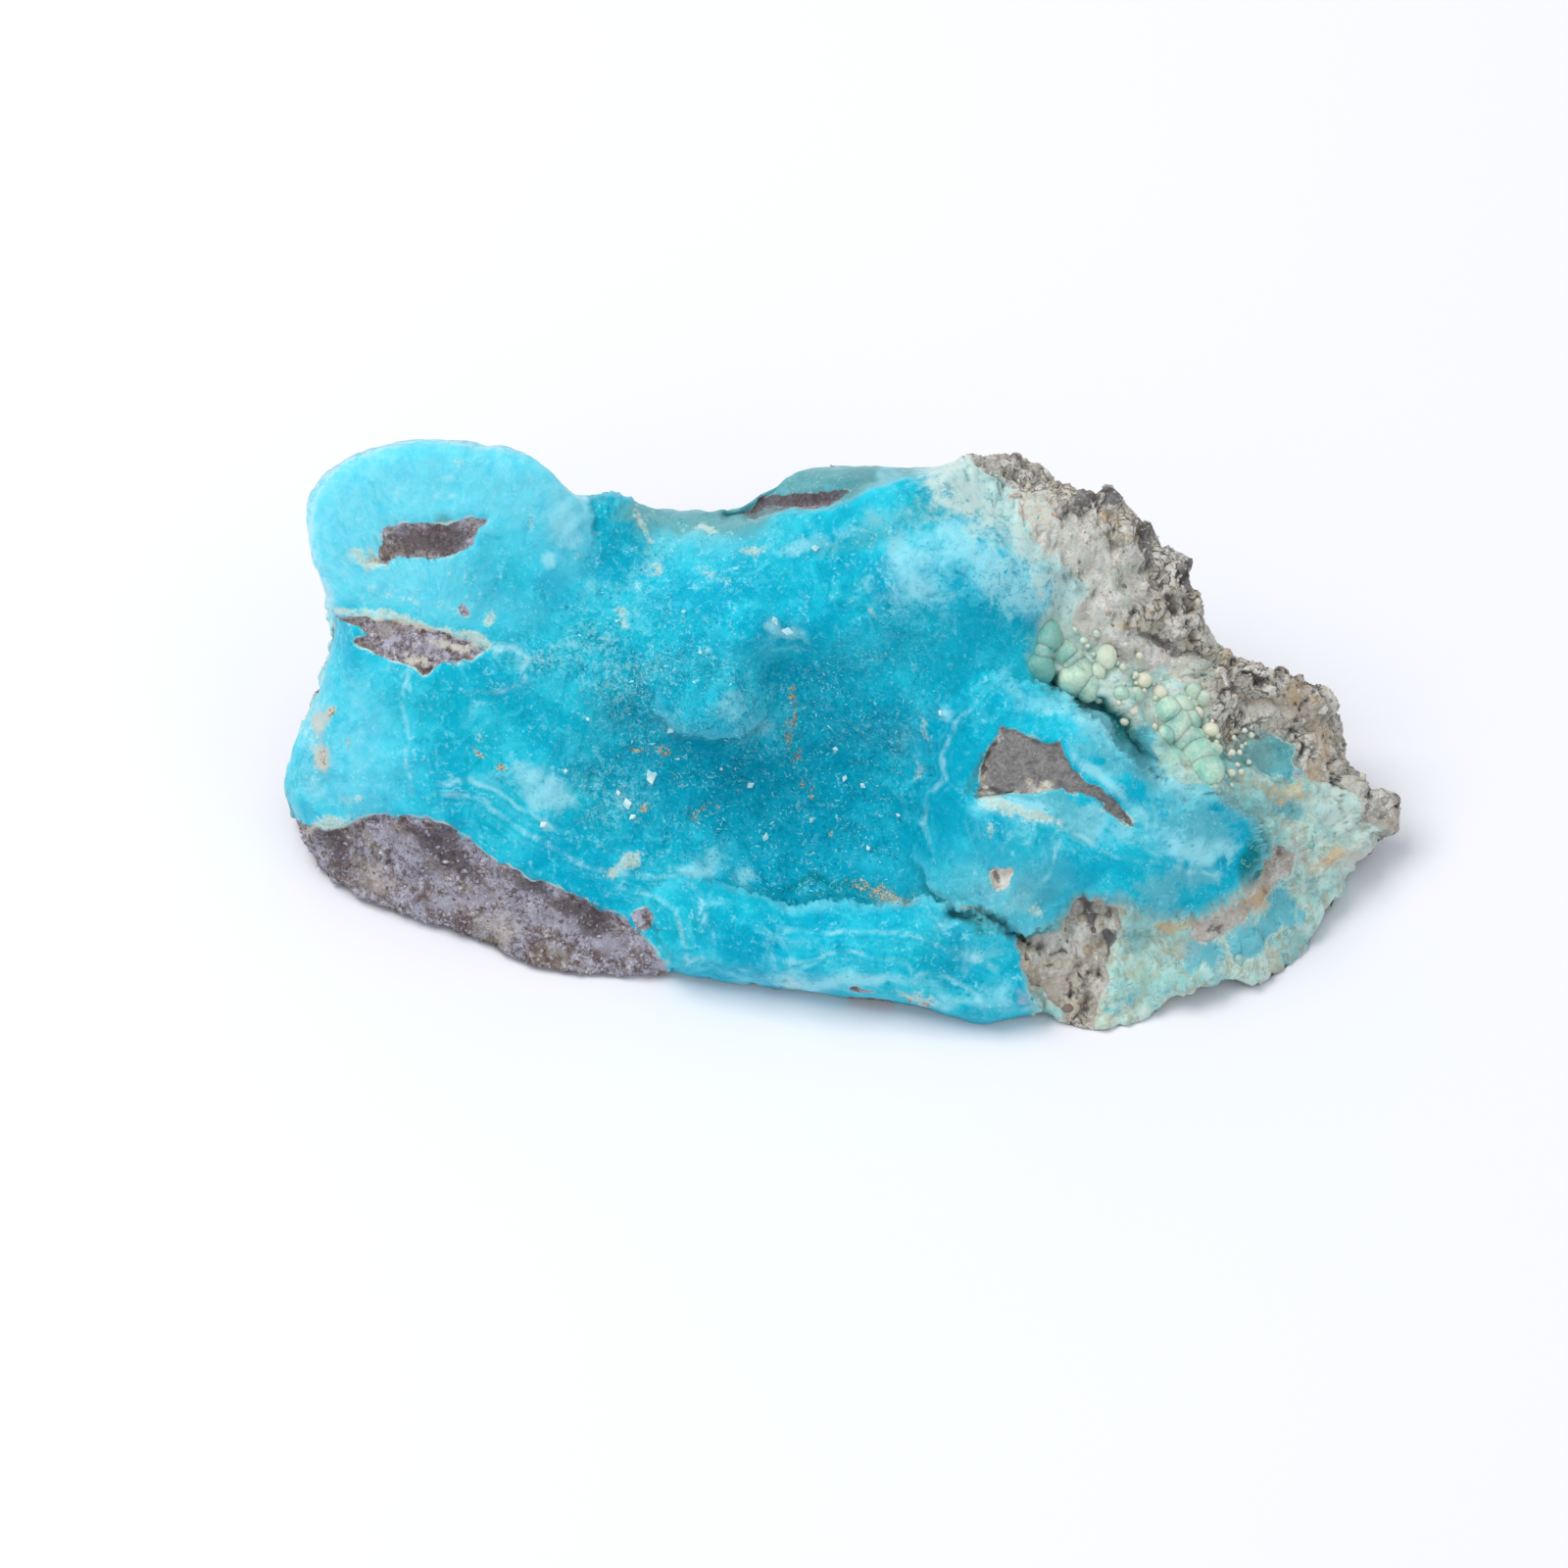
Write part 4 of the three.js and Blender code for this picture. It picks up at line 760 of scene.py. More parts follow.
# Behind the rim, a rind of crust that is widest at the lobe, then bare rock with islands of crust.
lobe_rim = smooth_step(rim_v, 5.5, 8) * smooth_step(-rim_u, 11, 13)
rind = 2 + 5 * both(lobe_rim, lobe_rim) + 0.9 * rough_noise(body, 3, 3, 75)
rind -= 6 * within("rough ridge", -1, 1)
crust_islands = np.minimum(2.2 * (rough_noise(body, 7, 3, 77) - 0.33), below_rim - 4)
rock_behind = np.minimum(np.maximum(rock_on_face, below_rim - rind), -crust_islands)
rock = np.where(on_front > 0.5, rock_on_face, rock_behind)

# Growth lines of the crust: the points that each runs through, along the face and up it.
GROWTH_LINES = [
    [[-21.5, -3.6], [-18.6, -3.4], [-16.4, -5.1], [-14, -6.3], [-12.2, -7.4], [-10.1, -7.9],
     [-7.6, -8], [-6.1, -9], [-5.6, -11], [-5.2, -13]],
    [[-11.1, -8.5], [-9, -8.7], [-7.4, -9.8], [-6.9, -11.7], [-6.9, -12.6], [-5.5, -11.9]],
    [[-3, -11.9], [-0.6, -12.6], [0.5, -12.2], [2, -12.1], [3.8, -12.1], [5.7, -12.9], [8.3, -13.7],
     [9.2, -14.9], [9.3, -15.8]],
    [[-2.1, -10.5], [1.1, -10.9], [3.2, -10.7], [5.8, -11.2], [8.5, -12.2], [10.3, -13.2]],
    [[-20.7, -3.1], [-18.6, -2.6], [-16.8, -3.7], [-15, -4.7], [-13.2, -5.6]],
    [[8.6, 1.4], [7.7, 0.3], [7, -1.6], [7.2, -2.8], [6.3, -3.6], [6, -5.2], [6.6, -7]],
    [[13.2, -5.2], [14.6, -5.8], [15.8, -6.6], [17.4, -7.2], [19.2, -7.4], [21, -7.6], [22.4, -8]],
    [[13.1, -6], [13, -7], [12.6, -8], [12, -8.6]],
    [[-22, 3.2], [-22.2, 1], [-22, -1.4], [-21.8, -3.6]],
    [[-17.4, 4.4], [-16.2, 4.3], [-15.3, 3.8], [-15.6, 2.6], [-16.9, 2.1], [-19.6, 2.4]],
]
line_side = np.full(len(body), 5.0)
line_near = np.zeros(len(body))
for points in GROWTH_LINES:
    distance, side, way = line_distance(points, grown_u, grown_v)
    nearer = distance < np.abs(line_side)
    line_side = np.where(nearer, distance * side, line_side)
    ends = smooth_step(way, 0, 0.08) * smooth_step(1 - way, 0, 0.12)
    line_near = np.where(nearer, ends * smooth_step(0.5 - distance, 0, 0.25), line_near)

ledge = np.maximum.reduce([patch_depth[name] for name in ("lobe", "lower band", "raised mass", "knob")])
lobe_fade = 0.12 + 1.4 * smooth_step(11 - face_v, 0, 3)
pale = smooth_step(patch_depth["lobe"] / lobe_fade, -1, 1)
pale *= 1 - 0.85 * blob(grown_u, grown_v, (-15.4, 8), (4.4, 3), -20)
# painted light: the facet at the left end, which faces the light, is painted paler
pale = np.clip(pale + 0.8 * blob(grown_u, grown_v, (-25, -1.5), (2.8, 4)), 0, 1)
ridge_edge = patch_depth["rough ridge"]
ash = 1.05 * np.exp(-((ridge_edge - 0.2) / 2.3) ** 2) * smooth_step(face_v, -1.5, 2)
ash += 0.5 * blob(grown_u, grown_v, (8.6, 13), (3.5, 1.5))
ash += 1.5 * blob(grown_u, grown_v, (29.6, -3.6), (2.6, 2.6))
ash = np.clip(ash, 0, 1) * on_front
fan_u, fan_v = face_u - FAN_MIDDLE[0], face_v - FAN_MIDDLE[1]
fan_turn = 9 * np.arctan2(fan_v, fan_u)
fan_reach = np.hypot(fan_v, fan_u)
green = (within("right end", -0.4, 0.5) + 0.7 * within("rough ridge", -2, 0.5)
         + 0.5 * within("far strip", -0.2, 0.4) + 0.45 * blob(grown_u, grown_v, (-6, 11.2), (2.6, 1.2))
         + 0.35 * blob(grown_u, grown_v, (10, -9), (3, 1.8)))
green = np.clip(green, 0, 1)
green = np.where(on_front > 0.5, green, 0.5 + 0.5 * green)
tan_rock = np.clip(within("rough ridge", -1, 0.5) + within("low rock", -0.3, 0.3)
                   + within("grey triangle", -0.5, 0.1) + within("small triangle", -0.3, 0.1)
                   + 0.8 * within("thin seam", -0.3, 0.2), 0, 1)
tan_rock = np.where(on_front > 0.5, tan_rock, smooth_step(face_u, 2, 14))

off_mass = 1 - within("raised mass", -0.2, 0.1)
specimen = mesh_piece("hemimorphite_specimen_skin", solid, quads, {
    "rock": rock, "tan_rock": tan_rock, "pale": pale, "green": green, "druse": druse, "ash": ash,
    "line_side": line_side, "line_near": line_near, "to_rim": np.clip(to_rim, 0, 5),
    "fan_turn": fan_turn, "fan_reach": fan_reach, "cavity_shade": cavity_shade, "valley": lump_edge,
    "ledge": np.clip(ledge, -2, 2),
    "ledge_near": painted("ledge") * on_front,
    "chips": within("rough ridge", 0, 1) * (1 - chalk) * on_front,
    **{kind: painted(kind) * on_front * (off_mass if kind in ("sage", "mint", "greige") else 1)
       for kind in MARKS if kind != "ledge"},
})


# Colours of the specimen, as a paint chart's red, green and blue.
TINTS = {
    # the crust's blues, and the sea greens of the right end
    "azure": (0, 172, 203), "turquoise": (28, 200, 224), "lagoon": (16, 182, 194),
    # deep teal is partly the trough's own colour and partly painted shade
    "lobe blue": (86, 210, 234), "lobe milk": (142, 228, 241), "deep teal": (0, 168, 197),
    "light cloud": (74, 210, 232), "dark wisp": (0, 160, 190), "sea green": (158, 208, 204),
    "sea foam": (208, 230, 218), "sea shade": (118, 180, 176), "sand": (210, 194, 160),
    "sea white": (226, 234, 218), "silt": (168, 170, 146), "vein": (156, 144, 116),
    # what is painted on crust and rock
    # milk is milky crust and also painted light on the knob's and the lobe's edges
    "teal": (96, 188, 204), "milk_and_light": (160, 228, 240), "sage": (104, 166, 170),
    "mint": (170, 212, 196), "greige": (210, 198, 186), "lilac": (190, 186, 204),
    # the shade and the hollow are painted shade, on the crust and in its cracks; the rim is a painted glow
    # along the lobe's edge
    "shade": (72, 128, 134), "ash": (210, 228, 220), "rim": (190, 234, 244),
    "hollow_shade": (4, 110, 108),
    # sugary frost, growth bands, clots and specks
    "frost": (156, 228, 240), "thick frost": (184, 234, 238), "fleck": (168, 234, 240),
    "speck": (60, 196, 216), "dark speck": (0, 126, 148), "dark frost": (0, 136, 160),
    # the lip is a painted highlight and the undercut a painted shadow at the ledges
    "band": (186, 238, 246), "lip_highlight": (130, 222, 238), "undercut_shadow": (0, 124, 132),
    "cream": (208, 206, 184), "blue cream": (214, 234, 226), "rust": (138, 116, 94),
    "pale rust": (222, 204, 166), "ochre": (214, 184, 140), "seam": (218, 222, 208),
    # the brown rock
    "brown": (122, 102, 98), "lavender": (194, 192, 210), "warm brown": (166, 152, 138),
    "dark grain": (96, 80, 80), "white grain": (230, 226, 232), "brown pit": (94, 76, 74),
    "crease": (92, 78, 78),
    # the weathered rock, slate and chalk
    "grey tan": (208, 200, 186), "off white": (248, 246, 238), "white chip": (250, 246, 238),
    "grey chip": (156, 148, 140), "tan": (214, 190, 152), "tan grain": (134, 122, 110),
    "chip gap": (80, 74, 72), "slate": (114, 112, 114), "pale slate": (160, 156, 154),
    # cavity is painted shade in the rock's clefts and pits
    "slate fleck": (196, 196, 196), "cavity_shade": (104, 92, 84), "chalk": (255, 252, 246),
    "green chalk": (222, 230, 218), "tan chalk": (222, 206, 182), "grey chalk": (158, 158, 146),
    "rusty rock": (224, 194, 150), "cream rock": (232, 226, 214), "ash rock": (232, 234, 226),
    # umber is the rock's dark brown, partly painted shade in the ridge's crevices
    "umber_and_shade": (86, 74, 78),
}


def pigment(colour):
    """What a colour input takes: a wire as it is, or the linear values of a colour given as a paint
    chart's red, green and blue from 0 to 255, or by its name in TINTS."""
    if isinstance(colour, Wire):
        return colour
    parts = [part / 255 for part in TINTS.get(colour, colour)]
    return (*(part / 12.92 if part < 0.04045 else ((part + 0.055) / 1.055) ** 2.4 for part in parts), 1)


class Wire:
    """One output of a node in a material; arithmetic on wires adds Math nodes."""

    def __init__(self, tree, socket=None):
        self.tree = tree
        self.socket = socket

    def node(self, kind, settings, inputs, output=0):
        """Adds a node of a type, makes its settings, then fills its inputs with values or wires."""
        made = self.tree.nodes.new(kind)
        for name, value in settings.items():
            setattr(made, name, value)
        for name, value in inputs.items():
            if isinstance(value, Wire):
                self.tree.links.new(value.socket, made.inputs[name])
            else:
                made.inputs[name].default_value = value
        return Wire(self.tree, made.outputs[output] if made.outputs else None)

    def math(self, operation, first_value, second_value):
        return self.node("ShaderNodeMath", {"operation": operation}, {0: first_value, 1: second_value})

    def size(self):
        """The value without its sign."""
        return self.math("ABSOLUTE", self, 0.0)

    def __add__(self, other):
        return self.math("ADD", self, other)

    def __radd__(self, other):
        return self.math("ADD", other, self)

    def __sub__(self, other):
        return self.math("SUBTRACT", self, other)

    def __rsub__(self, other):
        return self.math("SUBTRACT", other, self)

    def __mul__(self, other):
        return self.math("MULTIPLY", self, other)

    def __rmul__(self, other):
        return self.math("MULTIPLY", other, self)

    def larger(self, other):
        return self.math("MAXIMUM", self, other)

    def swing(self, amount):
        """How far the value is from a half, times an amount."""
        return (self - 0.5) * amount

    def ramp(self, low, high, bottom=0.0, top=1.0):
        """Rises smoothly from bottom to top as the value goes from low to high."""
        settings = {"interpolation_type": "SMOOTHSTEP"}
        return self.node("ShaderNodeMapRange", settings, {0: self, 1: low, 2: high, 3: bottom, 4: top})

    def blend(self, start, end):
        """The colour from start, where the value is 0, to end, where it is 1."""
        ends = {0: self, 6: pigment(start), 7: pigment(end)}
        return self.node("ShaderNodeMix", {"data_type": "RGBA"}, ends, 2)

    def field(self, name):
        return self.node("ShaderNodeAttribute", {"attribute_name": name}, {}, 2)

    def place(self):
        """Where a point of the object is, in metres."""
        return self.node("ShaderNodeTexCoord", {}, {}, 3)

    def noise(self, place, size, detail=2.0, roughness=0.5, distortion=0.0):
        """Cloudy noise round 0.5 whose features are about size millimetres."""
        values = {"Vector": place, "Scale": 1 / (size * MM), "Detail": detail,
                  "Roughness": roughness, "Distortion": distortion}
        return self.node("ShaderNodeTexNoise", {}, values)

    def cells(self, place, size, feature="F1", output=0):
        """Cells about size millimetres across: the distance from the nearest one's middle."""
        values = {"Vector": place, "Scale": 1 / (size * MM)}
        return self.node("ShaderNodeTexVoronoi", {"feature": feature}, values, output)

    def shader(self, inputs):
        """A surface with these inputs, the rest as Blender gives them."""
        return self.node("ShaderNodeBsdfPrincipled", {}, inputs)

    def bump(self, strength, distance):
        """The normals of a surface with this relief, which is distance millimetres at a height of 1."""
        values = {"Strength": strength, "Distance": distance * MM, "Height": self}
        return self.node("ShaderNodeBump", {}, values)


def new_material(name):
    """A material with an empty node tree, and a wire to start its nodes from."""
    material = bpy.data.materials.new(name)
    material.use_nodes = True
    material.node_tree.nodes.clear()
    return material, Wire(material.node_tree)


def finish_material(material, shader):
    """Joins a shader to the material's surface."""
    shader.node("ShaderNodeOutputMaterial", {}, {"Surface": shader})
    return material


def layered(colour, layers):
    """A colour with others laid over it in turn, each where its share is 1."""
    for share, other in layers:
        colour = share.blend(colour, other)
    return colour


def specimen_material():
    """Waxy blue crust and matt grainy rock, mixed where the rock field says that bare rock shows."""
    material, start = new_material("hemimorphite_and_rock")
    field = start.field
    place = start.place()
    clouds = start.noise(place, 4.0, 4.0, 0.6, 0.6)
    wisps = start.noise(place, 1.5, 6.0, 0.7, 0.8)
    mottle = start.noise(place, 0.5, 4.0, 0.65)
    dust = start.noise(place, 0.14, 2.0, 0.6)
    sugar = start.cells(place, 0.22, "F1", 1)

    # the lobe's milky blue, with fibres that fan out over it, and the sea greens of the right end
    fan = start.node("ShaderNodeCombineXYZ", {}, {0: field("fan_turn") * 2.6, 1: field("fan_reach")})
    fibre = start.node("ShaderNodeTexNoise", {},
                       {"Vector": fan, "Scale": 0.9, "Detail": 4.0, "Roughness": 0.7})
    lobe_blue = (wisps * 0.6 + fibre * 0.4).ramp(0.32, 0.66).blend("lobe blue", "lobe milk")
    veins = (start.noise(place, 2.4, 4.0, 0.65, 1.0) - 0.5).size().ramp(0.0, 0.06, 1.0, 0.0)
    sea = layered(clouds.ramp(0.4, 0.62).blend("sea green", "sea foam"), [
        (wisps.ramp(0.3, 0.42, 0.6, 0.0), "sea shade"),
        (wisps.ramp(0.5, 0.62, 0.0, 0.7), "sand"),
        (mottle.ramp(0.52, 0.64, 0.0, 0.4), "sea white"),
        (field("valley") * wisps.ramp(0.46, 0.56, 0.0, 0.5), "silt"),
        (veins * mottle.ramp(0.4, 0.58, 0.0, 0.6), "vein"),
    ])

    # the crust, from azure through turquoise to deep teal, with what is painted on it, painted shade and
    # light among it
    ledge = field("ledge") + mottle.swing(0.5) + wisps.swing(0.3)
    ledge_near = field("ledge_near")
    # deep teal of the trough, partly painted shade under the knob and above the band
    deep = field("deep") * (0.6 + 0.8 * clouds) * (1 - ledge.ramp(-0.05, 0.1) * ledge_near)
    light_cloud = clouds.ramp(0.5, 0.66, 0.0, 0.35).larger(wisps.ramp(0.53, 0.6, 0.0, 0.45))
    # milky crust, partly painted light along rims
    milk_and_light = field("milk_and_light") + wisps.swing(1.4) + clouds.swing(0.6) + mottle.swing(0.4)
    stains = [((field(kind) + wisps.swing(1.1) + mottle.swing(0.4)).ramp(0.2, 0.9, 0.0, 0.85), kind)
              for kind in ("sage", "mint", "greige", "lilac")]
    ash = (field("ash") + wisps.swing(1.8) + mottle.swing(1.2)).ramp(0.35, 1.1, 0.0, 0.9)
    # painted glow near the lobe's rim
    rim_glow = (1 - field("to_rim").ramp(0.0, 0.8)) * field("pale")
    # painted shade in the cracks and hollows of the face
    hollow_shade = field("hollow_shade") * mottle.ramp(0.3, 0.6, 0.7, 1.0)
    blue = layered(clouds.ramp(0.35, 0.65).blend("azure", "turquoise"), [
        (start.noise(place, 6.0, 3.0, 0.6).ramp(0.42, 0.62, 0.0, 0.3), "lagoon"),
        (field("pale"), lobe_blue),
        (deep.ramp(0.05, 0.95), "deep teal"),
        (light_cloud * (1 - deep.ramp(0.3, 1.0)), "light cloud"),
        (wisps.ramp(0.34, 0.44, 0.5, 0.0) * (1 - field("pale")), "dark wisp"),
        (field("green"), sea),
        ((field("teal") + wisps.swing(1.6)).ramp(0.4, 0.7, 0.0, 0.85), "teal"),
        (milk_and_light.ramp(0.2, 1.1, 0.0, 0.85), "milk_and_light"),
        *stains,
        # painted shade on the crust where the umber marks lie
        ((field("umber_and_shade") + mottle.swing(0.6)).ramp(0.2, 0.9, 0.0, 0.7), "shade"),
        (ash, "ash"),
        (rim_glow * mottle.ramp(0.4, 0.56, 0.1, 0.9), "rim"),
        (hollow_shade.ramp(0.1, 0.9, 0.0, 0.92), "hollow_shade"),
    ])

    # sugary frost and specks, which are partly painted glints, growth bands, a painted highlight along the
    # top of each ledge and a painted shadow below it, cream clots, rust, and the seam round bare rock
    druse_field = field("druse")
    frost_field = field("frost")
    clumps = start.noise(place, 1.1, 3.0, 0.6).ramp(0.4, 0.62)
    sparkle = mottle.swing(1.3) + sugar.swing(0.5) + dust.swing(1.1) + druse_field * 0.04
    crunch = start.noise(place, 0.3, 4.0, 0.75, 1.0) + wisps.swing(0.35)
    # white sugary frost, partly painted glints in place of highlights
    frost_and_glints = sparkle.ramp(0.14, 0.34) * (0.15 + 0.4 * clumps) * (1 - deep.ramp(0.2, 0.8, 0.0, 0.8))
    frost_and_glints = frost_and_glints.larger(crunch.ramp(0.5, 0.6) * frost_field * 0.6)
    dark_frost = sparkle.ramp(-0.32, -0.14, 1.0, 0.0) * (0.15 + 0.3 * clumps)
    dark_frost = dark_frost.larger(crunch.ramp(0.36, 0.46, 1.0, 0.0) * frost_field * 0.7)
    # pale flecks, partly painted glints
    flecks_and_glints = start.noise(place, 0.34, 3.0, 0.6, 1.6) + start.noise(place, 1.6, 2.0).swing(0.3)
    specks = start.noise(place, 0.26, 3.0, 0.7, 0.5)
    along = start.node("ShaderNodeCombineXYZ", {}, {0: field("line_side") * 2.4, 1: wisps * 1.5})
    agate = start.node("ShaderNodeTexNoise", {}, {"Vector": along, "Scale": 1.0, "Detail": 3.0})
    agate = agate.ramp(0.56, 0.68) * field("banding") * wisps.ramp(0.4, 0.6, 0.2, 1.0)
    line = (field("line_side") + mottle.swing(0.16)).size()
    line = (1 - line.ramp(0.0, 0.26)) * field("line_near") * wisps.ramp(0.4, 0.6, 0.1, 1.0)
    # painted highlight just inside each ledge's edge, and painted shadow just outside it
    lip_highlight = ledge.ramp(0.0, 0.08) * ledge.ramp(0.15, 0.6, 1.0, 0.0) * ledge_near
    undercut_shadow = ledge.ramp(-0.45, -0.05) * ledge.ramp(-0.02, 0.06, 1.0, 0.0) * ledge_near
    clots = (field("cream") + mottle.swing(1.8) + dust.swing(0.8)).ramp(0.35, 1.0)
    rust = (start.noise(place, 0.3, 4.0, 0.7) - 0.74 + field("rust") * 0.34).ramp(0.0, 0.08)
    ochre = (field("rust") + wisps.swing(1.8)).ramp(0.4, 0.7) * field("green") * 0.6
    rock_edge = (field("rock") + 0.05 + mottle.swing(0.3)).size()
    blue = layered(blue, [
        (frost_and_glints, frost_field.blend("frost", "thick frost")),
        (flecks_and_glints.ramp(0.6, 0.65) * (druse_field + frost_field * 0.6) * 0.55, "fleck"),
        (specks.ramp(0.56, 0.66) * druse_field * 0.35, "speck"),
        (specks.ramp(0.36, 0.46, 1.0, 0.0) * druse_field * 0.5, "dark speck"),
        (dark_frost * (1 - field("pale")), "dark frost"),
        ((line * 0.5).larger(agate * 0.3), "band"),
        (lip_highlight * 0.55, "lip_highlight"),
        (undercut_shadow * 0.6, "undercut_shadow"),
        (clots * 0.72, (dust * 0.5 + wisps * 0.5).ramp(0.4, 0.6).blend("cream", "blue cream")),
        (rust * 0.85, dust.ramp(0.4, 0.6).blend("rust", "pale rust")),
        (ochre, "ochre"),
        ((1 - rock_edge.ramp(0.01, 0.12)) * wisps.ramp(0.46, 0.62, 0.0, 0.75), "seam"),
    ])
    crust_height = (sugar * 0.5 + dust * 0.4) * (druse_field * 0.8 + 0.25) + mottle * 0.9
    crust_height = crust_height + crunch * frost_field * 1.2
    crust = start.shader({
        "Base Color": blue, "Roughness": dust.ramp(0.3, 0.7, 0.3, 0.55),
        "Normal": crust_height.bump(0.6, 0.2), "IOR": 1.6, "Specular IOR Level": 0.25,
        "Specular Tint": (0.1, 0.8, 1.0, 1.0), "Subsurface Weight": 0.45,
        "Subsurface Scale": 0.8 * MM, "Subsurface Radius": (0.3, 1.0, 1.1),
    })

    # the rock: purple-brown and lavender grains, or paler tan and grey chips where it is weathered, with
    # painted shade in its clefts and pits
    coarse = start.noise(place, 2.4, 3.0, 0.6)
    grain = start.noise(place, 0.24, 4.0, 0.75)
    fleck = start.cells(place, 0.2, "F1", 1)
    grit = grain * 0.75 + coarse * 1.1 + fleck.swing(0.3)
    patches = coarse * 0.7 + start.noise(place, 1.1, 3.0, 0.6, 0.8) * 0.7 + mottle * 0.7 + grain * 0.7
    crease = (start.noise(place, 1.4, 4.0, 0.7, 0.6) - 0.5).size().ramp(0.0, 0.03, 1.0, 0.0)
    brown = layered(patches.ramp(1.2, 1.54).blend("brown", "lavender"), [
        (start.noise(place, 1.8, 4.0, 0.65, 0.5).ramp(0.5, 0.6, 0.0, 0.6), "warm brown"),
        (grain.ramp(0.32, 0.46, 0.7, 0.0), "dark grain"),
        (fleck.ramp(0.7, 0.8) * grain.ramp(0.42, 0.58) * 0.8, "white grain"),
        (mottle.ramp(0.34, 0.44, 0.75, 0.0), "brown pit"),
        (crease * grain.ramp(0.4, 0.56, 0.2, 0.8), "crease"),
    ])
    jostle = start.node("ShaderNodeTexNoise", {}, {"Vector": place, "Scale": 1 / (0.6 * MM)}, 1)
    jostled = start.node("ShaderNodeVectorMath", {"operation": "MULTIPLY_ADD"},
                         {0: jostle, 1: (0.4 * MM, 0.4 * MM, 0.4 * MM), 2: place})
    chip = start.cells(jostled, 0.5, "F1", 1)
    chip_edge = start.cells(jostled, 0.5, "DISTANCE_TO_EDGE")
    chips = field("chips")
    chip_gap = chip_edge.ramp(0.03, 0.15, 1.0, 0.0) * mottle.ramp(0.42, 0.56) * chips
    weathered = layered(grit.ramp(0.7, 1.15).blend("grey tan", "off white"), [
        (chip.ramp(0.5, 0.7, 0.0, 0.9) * chips, "white chip"),
        (chip.ramp(0.26, 0.34, 0.6, 0.0) * chips, "grey chip"),
        (wisps.ramp(0.5, 0.6, 0.0, 0.6), "tan"),
        (grain.ramp(0.32, 0.46, 0.4, 0.0), "tan grain"),
        (chip_gap * 0.9, "chip gap"),
    ])
    slate = (grain * 0.4 + mottle * 0.6).ramp(0.35, 0.62).blend("slate", "pale slate")
    slate = dust.ramp(0.62, 0.7, 0.0, 0.6).blend(slate, "slate fleck")
    slate_share = (field("slate") + (mottle - 0.5)).ramp(0.3, 0.55)
    cavity_shade = field("cavity_shade") * (1 - slate_share)
    chalk_share = (field("chalk") + wisps.swing(1.2) + mottle.swing(0.6)).ramp(0.1, 0.7, 0.0, 0.95)
    white_chalk = layered(wisps.ramp(0.4, 0.6).blend("chalk", "green chalk"), [
        (mottle.ramp(0.52, 0.62, 0.0, 0.6), "tan chalk"),
        (grain.ramp(0.36, 0.46, 0.5, 0.0), "grey chalk"),
    ])
    stone = layered(field("tan_rock").blend(brown, weathered), [
        (slate_share, slate),
        ((cavity_shade + grain.swing(0.7)).ramp(0.45, 0.95, 0.0, 0.8), "cavity_shade"),
        *[(share * 0.8, stain) for share, stain in stains],
        (chalk_share, white_chalk),
        ((field("rust") + mottle.swing(1.6)).ramp(0.35, 0.7, 0.0, 0.75), "rusty rock"),
        (clots, "cream rock"),
        (ash * (1 - cavity_shade) * 0.6, "ash rock"),
        ((field("umber_and_shade") + mottle.swing(1.4)).ramp(0.3, 0.7, 0.0, 0.75), "umber_and_shade"),
    ])
    rock_height = grain * 0.8 + mottle * 0.6 + fleck * 0.25
    bare_rock = start.shader({
        "Base Color": stone, "Roughness": grain.ramp(0.3, 0.7, 0.95, 0.7),
        "Normal": rock_height.bump(0.9, 0.35), "IOR": 1.5, "Specular IOR Level": 0.35,
    })
    share = (field("rock") + mottle.swing(0.5)).ramp(-0.04, 0.04)
    mixed = start.node("ShaderNodeMixShader", {}, {0: share, 1: crust, 2: bare_rock})
    return finish_material(material, mixed)


specimen.data.materials.append(specimen_material())
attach(specimen, "root")
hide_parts("hemimorphite_specimen")

# ---- The green beads ----
# Waxy pale green balls, the largest more than two millimetres across, which grew in the hollow
# between the blue mass and the rough ridge, with small tan and white ones. All are fused to the rock.

BEADS = [  # along the face, up it, radius, how cloudy and tan, how dark and glassy
    (12.7, 5, 0.75, 0, 0.8), (12.3, 3.3, 0.9, 0, 0.9), (12.4, 4.1, 0.7, 0, 0.6), (13.4, 4.1, 0.8, 0, 0.2),
    (14.1, 2.9, 1.15, 0.3, 0), (14.8, 2.3, 0.7, 0.2, 0), (13.9, 3.7, 0.7, 0.2, 0), (15.8, 4, 0.7, 0.6, 0),
    (15.3, 3.1, 0.5, 0.5, 0), (17.8, 2.7, 0.42, 1, 0), (18.7, 2, 0.5, 0.8, 0), (17.2, 1.1, 0.35, 0.9, 0),
    (16.6, 1.9, 0.5, 0.3, 0.3), (17.4, 1.8, 0.5, 0.4, 0.3), (19.1, 1, 0.8, 0, 0.1), (19.8, 1.2, 0.75, 0, 0),
    (19.6, 0.2, 1, 0, 0.1), (20.2, -0.6, 1.1, 0, 0), (20.9, -1.4, 1.1, 0.1, 0.1), (21.3, -2.3, 0.9, 0, 0.2),
    (19, -0.3, 0.6, 0, 0.2), (20.6, 2.1, 0.6, 0.5, 0.4), (21.1, 1.7, 0.5, 0.6, 0.3), (20.8, 0.9, 0.35, 1, 0),
    (21.5, 0, 0.4, 1, 0), (20.3, 0.5, 0.6, 0.1, 0), (21.7, -1, 0.5, 0.4, 0.2),
]
SMALL_BEADS = 70
SMALL_BEAD_RADIUS = (0.1, 0.26)
SINK = 0.4                          # share of a bead's radius that its middle lies below the face


